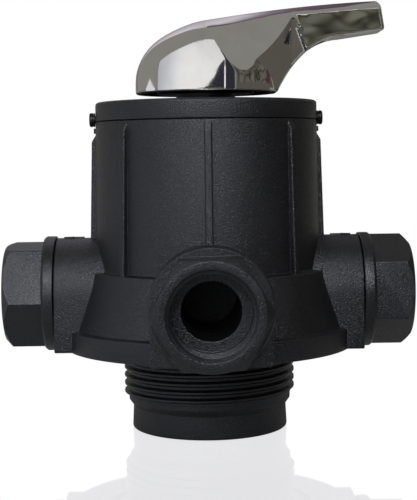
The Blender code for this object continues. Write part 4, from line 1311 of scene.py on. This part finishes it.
def make_right_wall(look):
    """A veined wall close to the lever, grey below and rosy at its far end, and a card in front of it."""
    foot, top = flat(-0.5), flat(9.5)
    wall = (WALL_LEFT, WALL_RIGHT)
    edge_end = WALL_RIGHT + ROSY_WIDTH
    veins = blotches(0.13, (1.0, 0.98, 0.80), (10.0, 1.3), 4.0, 0.26)
    panel("right_wall", wall, foot, top, BESIDE, veins, look, (120, 120))
    grey = even(0.105, 0.098, 0.085)
    panel("right_wall_foot", (WALL_LEFT, edge_end), TABLE_BESIDE, foot, BESIDE, grey, look)
    panel("rosy_edge", (WALL_RIGHT, edge_end), foot, top, BESIDE, even(0.08, 0.035, 0.045), look)
    panel("low_card", (15, WALL_LEFT), TABLE_BESIDE, flat(-22), BESIDE, even(0.12, 0.112, 0.10), look)


def make_back(look):
    """The far corner, the wall behind and a narrow bright strip behind the softbox."""
    panel("right_corner", (124, 160), flat(0.9), flat(8), NEAR, even(0.085, 0.075, 0.07), look)
    panel("backdrop", (-200, -143), flat(0.9), flat(72), NEAR, backdrop_shade, look)
    panel("left_glint", (-111, -88), TABLE, glint_top, NEAR, even(0.80, 0.80, 0.86), look)


def make_studio():
    look = glowing()
    make_softbox(look)
    make_front(look)
    make_right_wall(look)
    make_back(look)
    area_light("front_lamp", (-9, 20), (0.24, 0.18), 3.5)
    area_light("right_lamp", (10, 30), (0.24, 0.18), 4.2)
    area_light("high_lamp", (-11.4, 41.5), (0.36, 0.30), 2.8)
    area_light("left_lamp", (-64, 34), (0.60, 0.40), 1.4)


def camera_switch(tree, seen, unseen):
    """Join two shaders so that the camera meets the first and every other ray the second."""
    path = tree.nodes.new("ShaderNodeLightPath")
    mix = tree.nodes.new("ShaderNodeMixShader")
    tree.links.new(path.outputs["Is Camera Ray"], mix.inputs["Fac"])
    tree.links.new(unseen, mix.inputs[1])
    tree.links.new(seen, mix.inputs[2])
    return mix.outputs["Shader"]


def make_world():
    world = bpy.data.worlds.new("studio_room")
    bpy.context.scene.world = world
    world.use_nodes = True
    tree = world.node_tree
    tree.nodes.clear()
    out = tree.nodes.new("ShaderNodeOutputWorld")
    room = tree.nodes.new("ShaderNodeBackground")
    room.inputs["Color"].default_value = (*ROOM, 1.0)
    backdrop = tree.nodes.new("ShaderNodeBackground")
    backdrop.inputs["Color"].default_value = (1.0, 1.0, 1.0, 1.0)
    both = camera_switch(tree, backdrop.outputs["Background"], room.outputs["Background"])
    tree.links.new(both, out.inputs["Surface"])


MIRROR_SHARE = 0.92
MIRROR_FADE = (0.13, 0.20)
FLOOR_LEVEL = 1.005
FLOOR_HALF_SIZE = 12.0


def floor_look():
    """White to the camera, with a faint mirror image close to the valve; a mid grey table to all else."""
    look = bpy.data.materials.new("pale_floor")
    look.use_nodes = True
    tree = look.node_tree
    table = tree.nodes["Principled BSDF"]
    table.inputs["Base Color"].default_value = (0.52, 0.52, 0.515, 1.0)
    table.inputs["Roughness"].default_value = 0.4
    shine = tree.nodes.new("ShaderNodeBsdfGlossy")
    shine.inputs["Color"].default_value = (MIRROR_SHARE, MIRROR_SHARE, MIRROR_SHARE, 1.0)
    shine.inputs["Roughness"].default_value = 0.03
    glow = tree.nodes.new("ShaderNodeEmission")
    glow.inputs["Color"].default_value = (*[FLOOR_LEVEL - MIRROR_SHARE * shade for shade in ROOM], 1.0)
    both = tree.nodes.new("ShaderNodeAddShader")
    tree.links.new(shine.outputs["BSDF"], both.inputs[0])
    tree.links.new(glow.outputs["Emission"], both.inputs[1])
    plain = tree.nodes.new("ShaderNodeEmission")
    place = tree.nodes.new("ShaderNodeTexCoord")
    reach = tree.nodes.new("ShaderNodeVectorMath")
    reach.operation = "DISTANCE"
    reach.inputs[1].default_value = AXIS
    fade = tree.nodes.new("ShaderNodeMapRange")
    fade.inputs["From Min"].default_value, fade.inputs["From Max"].default_value = MIRROR_FADE
    seen = tree.nodes.new("ShaderNodeMixShader")
    tree.links.new(place.outputs["Object"], reach.inputs[0])
    tree.links.new(reach.outputs["Value"], fade.inputs["Value"])
    tree.links.new(fade.outputs["Result"], seen.inputs["Fac"])
    tree.links.new(both.outputs["Shader"], seen.inputs[1])
    tree.links.new(plain.outputs["Emission"], seen.inputs[2])
    out = tree.nodes["Material Output"]
    tree.links.new(camera_switch(tree, seen.outputs["Shader"], table.outputs["BSDF"]), out.inputs["Surface"])
    return look


def make_floor():
    bm = bmesh.new()
    bmesh.ops.create_grid(bm, x_segments=1, y_segments=1, size=FLOOR_HALF_SIZE)
    mesh = bpy.data.meshes.new("floor")
    bm.to_mesh(mesh)
    bm.free()
    mesh.materials.append(floor_look())
    floor = bpy.data.objects.new("floor", mesh)
    STUDIO.objects.link(floor)
    LAMP_LIT.objects.link(floor)


CAMERA_PLACE = (-0.00862, -0.51749, 0.11616)
CAMERA_RIGHT = Vector((0.999756, -0.017926, -0.012945))
CAMERA_UP = Vector((0.014307, 0.078031, 0.996848))
FOCAL_LENGTH = 90.233


def make_camera():
    """A low front view from half a metre."""
    lens = bpy.data.cameras.new("camera")
    lens.lens = FOCAL_LENGTH
    lens.sensor_width = 36.0
    camera = bpy.data.objects.new("camera", lens)
    STUDIO.objects.link(camera)
    back = CAMERA_RIGHT.cross(CAMERA_UP)
    turn = Matrix((CAMERA_RIGHT, CAMERA_UP, back)).transposed().to_4x4()
    camera.matrix_world = Matrix.Translation(CAMERA_PLACE) @ turn
    bpy.context.scene.camera = camera


def main():
    make_body(LOOKS["body_plastic"])
    make_cover(LOOKS["cover_plastic"])
    make_dial(LOOKS["dial"], PAINT)
    make_screws(LOOKS["screw_steel"])
    for side in PORTS:
        make_port(side, LOOKS["adapter_plastic"])
    make_handle(LOOKS["chrome"])
    make_collar(LOOKS["collar_plastic"])
    make_seals(LOOKS["seal_rubber"])
    make_retainer(LOOKS["stem_plastic"])
    slots = {part["node"]: part["material_slot"] for part in frame["record"]["subparts"]}
    for name, node in frame["nodes"].items():
        for slot in node.material_slots:
            slot.material = LOOKS[slots[name]]
    make_world()
    make_floor()
    make_studio()
    make_camera()
    bpy.context.scene.view_settings.view_transform = "Standard"


main()
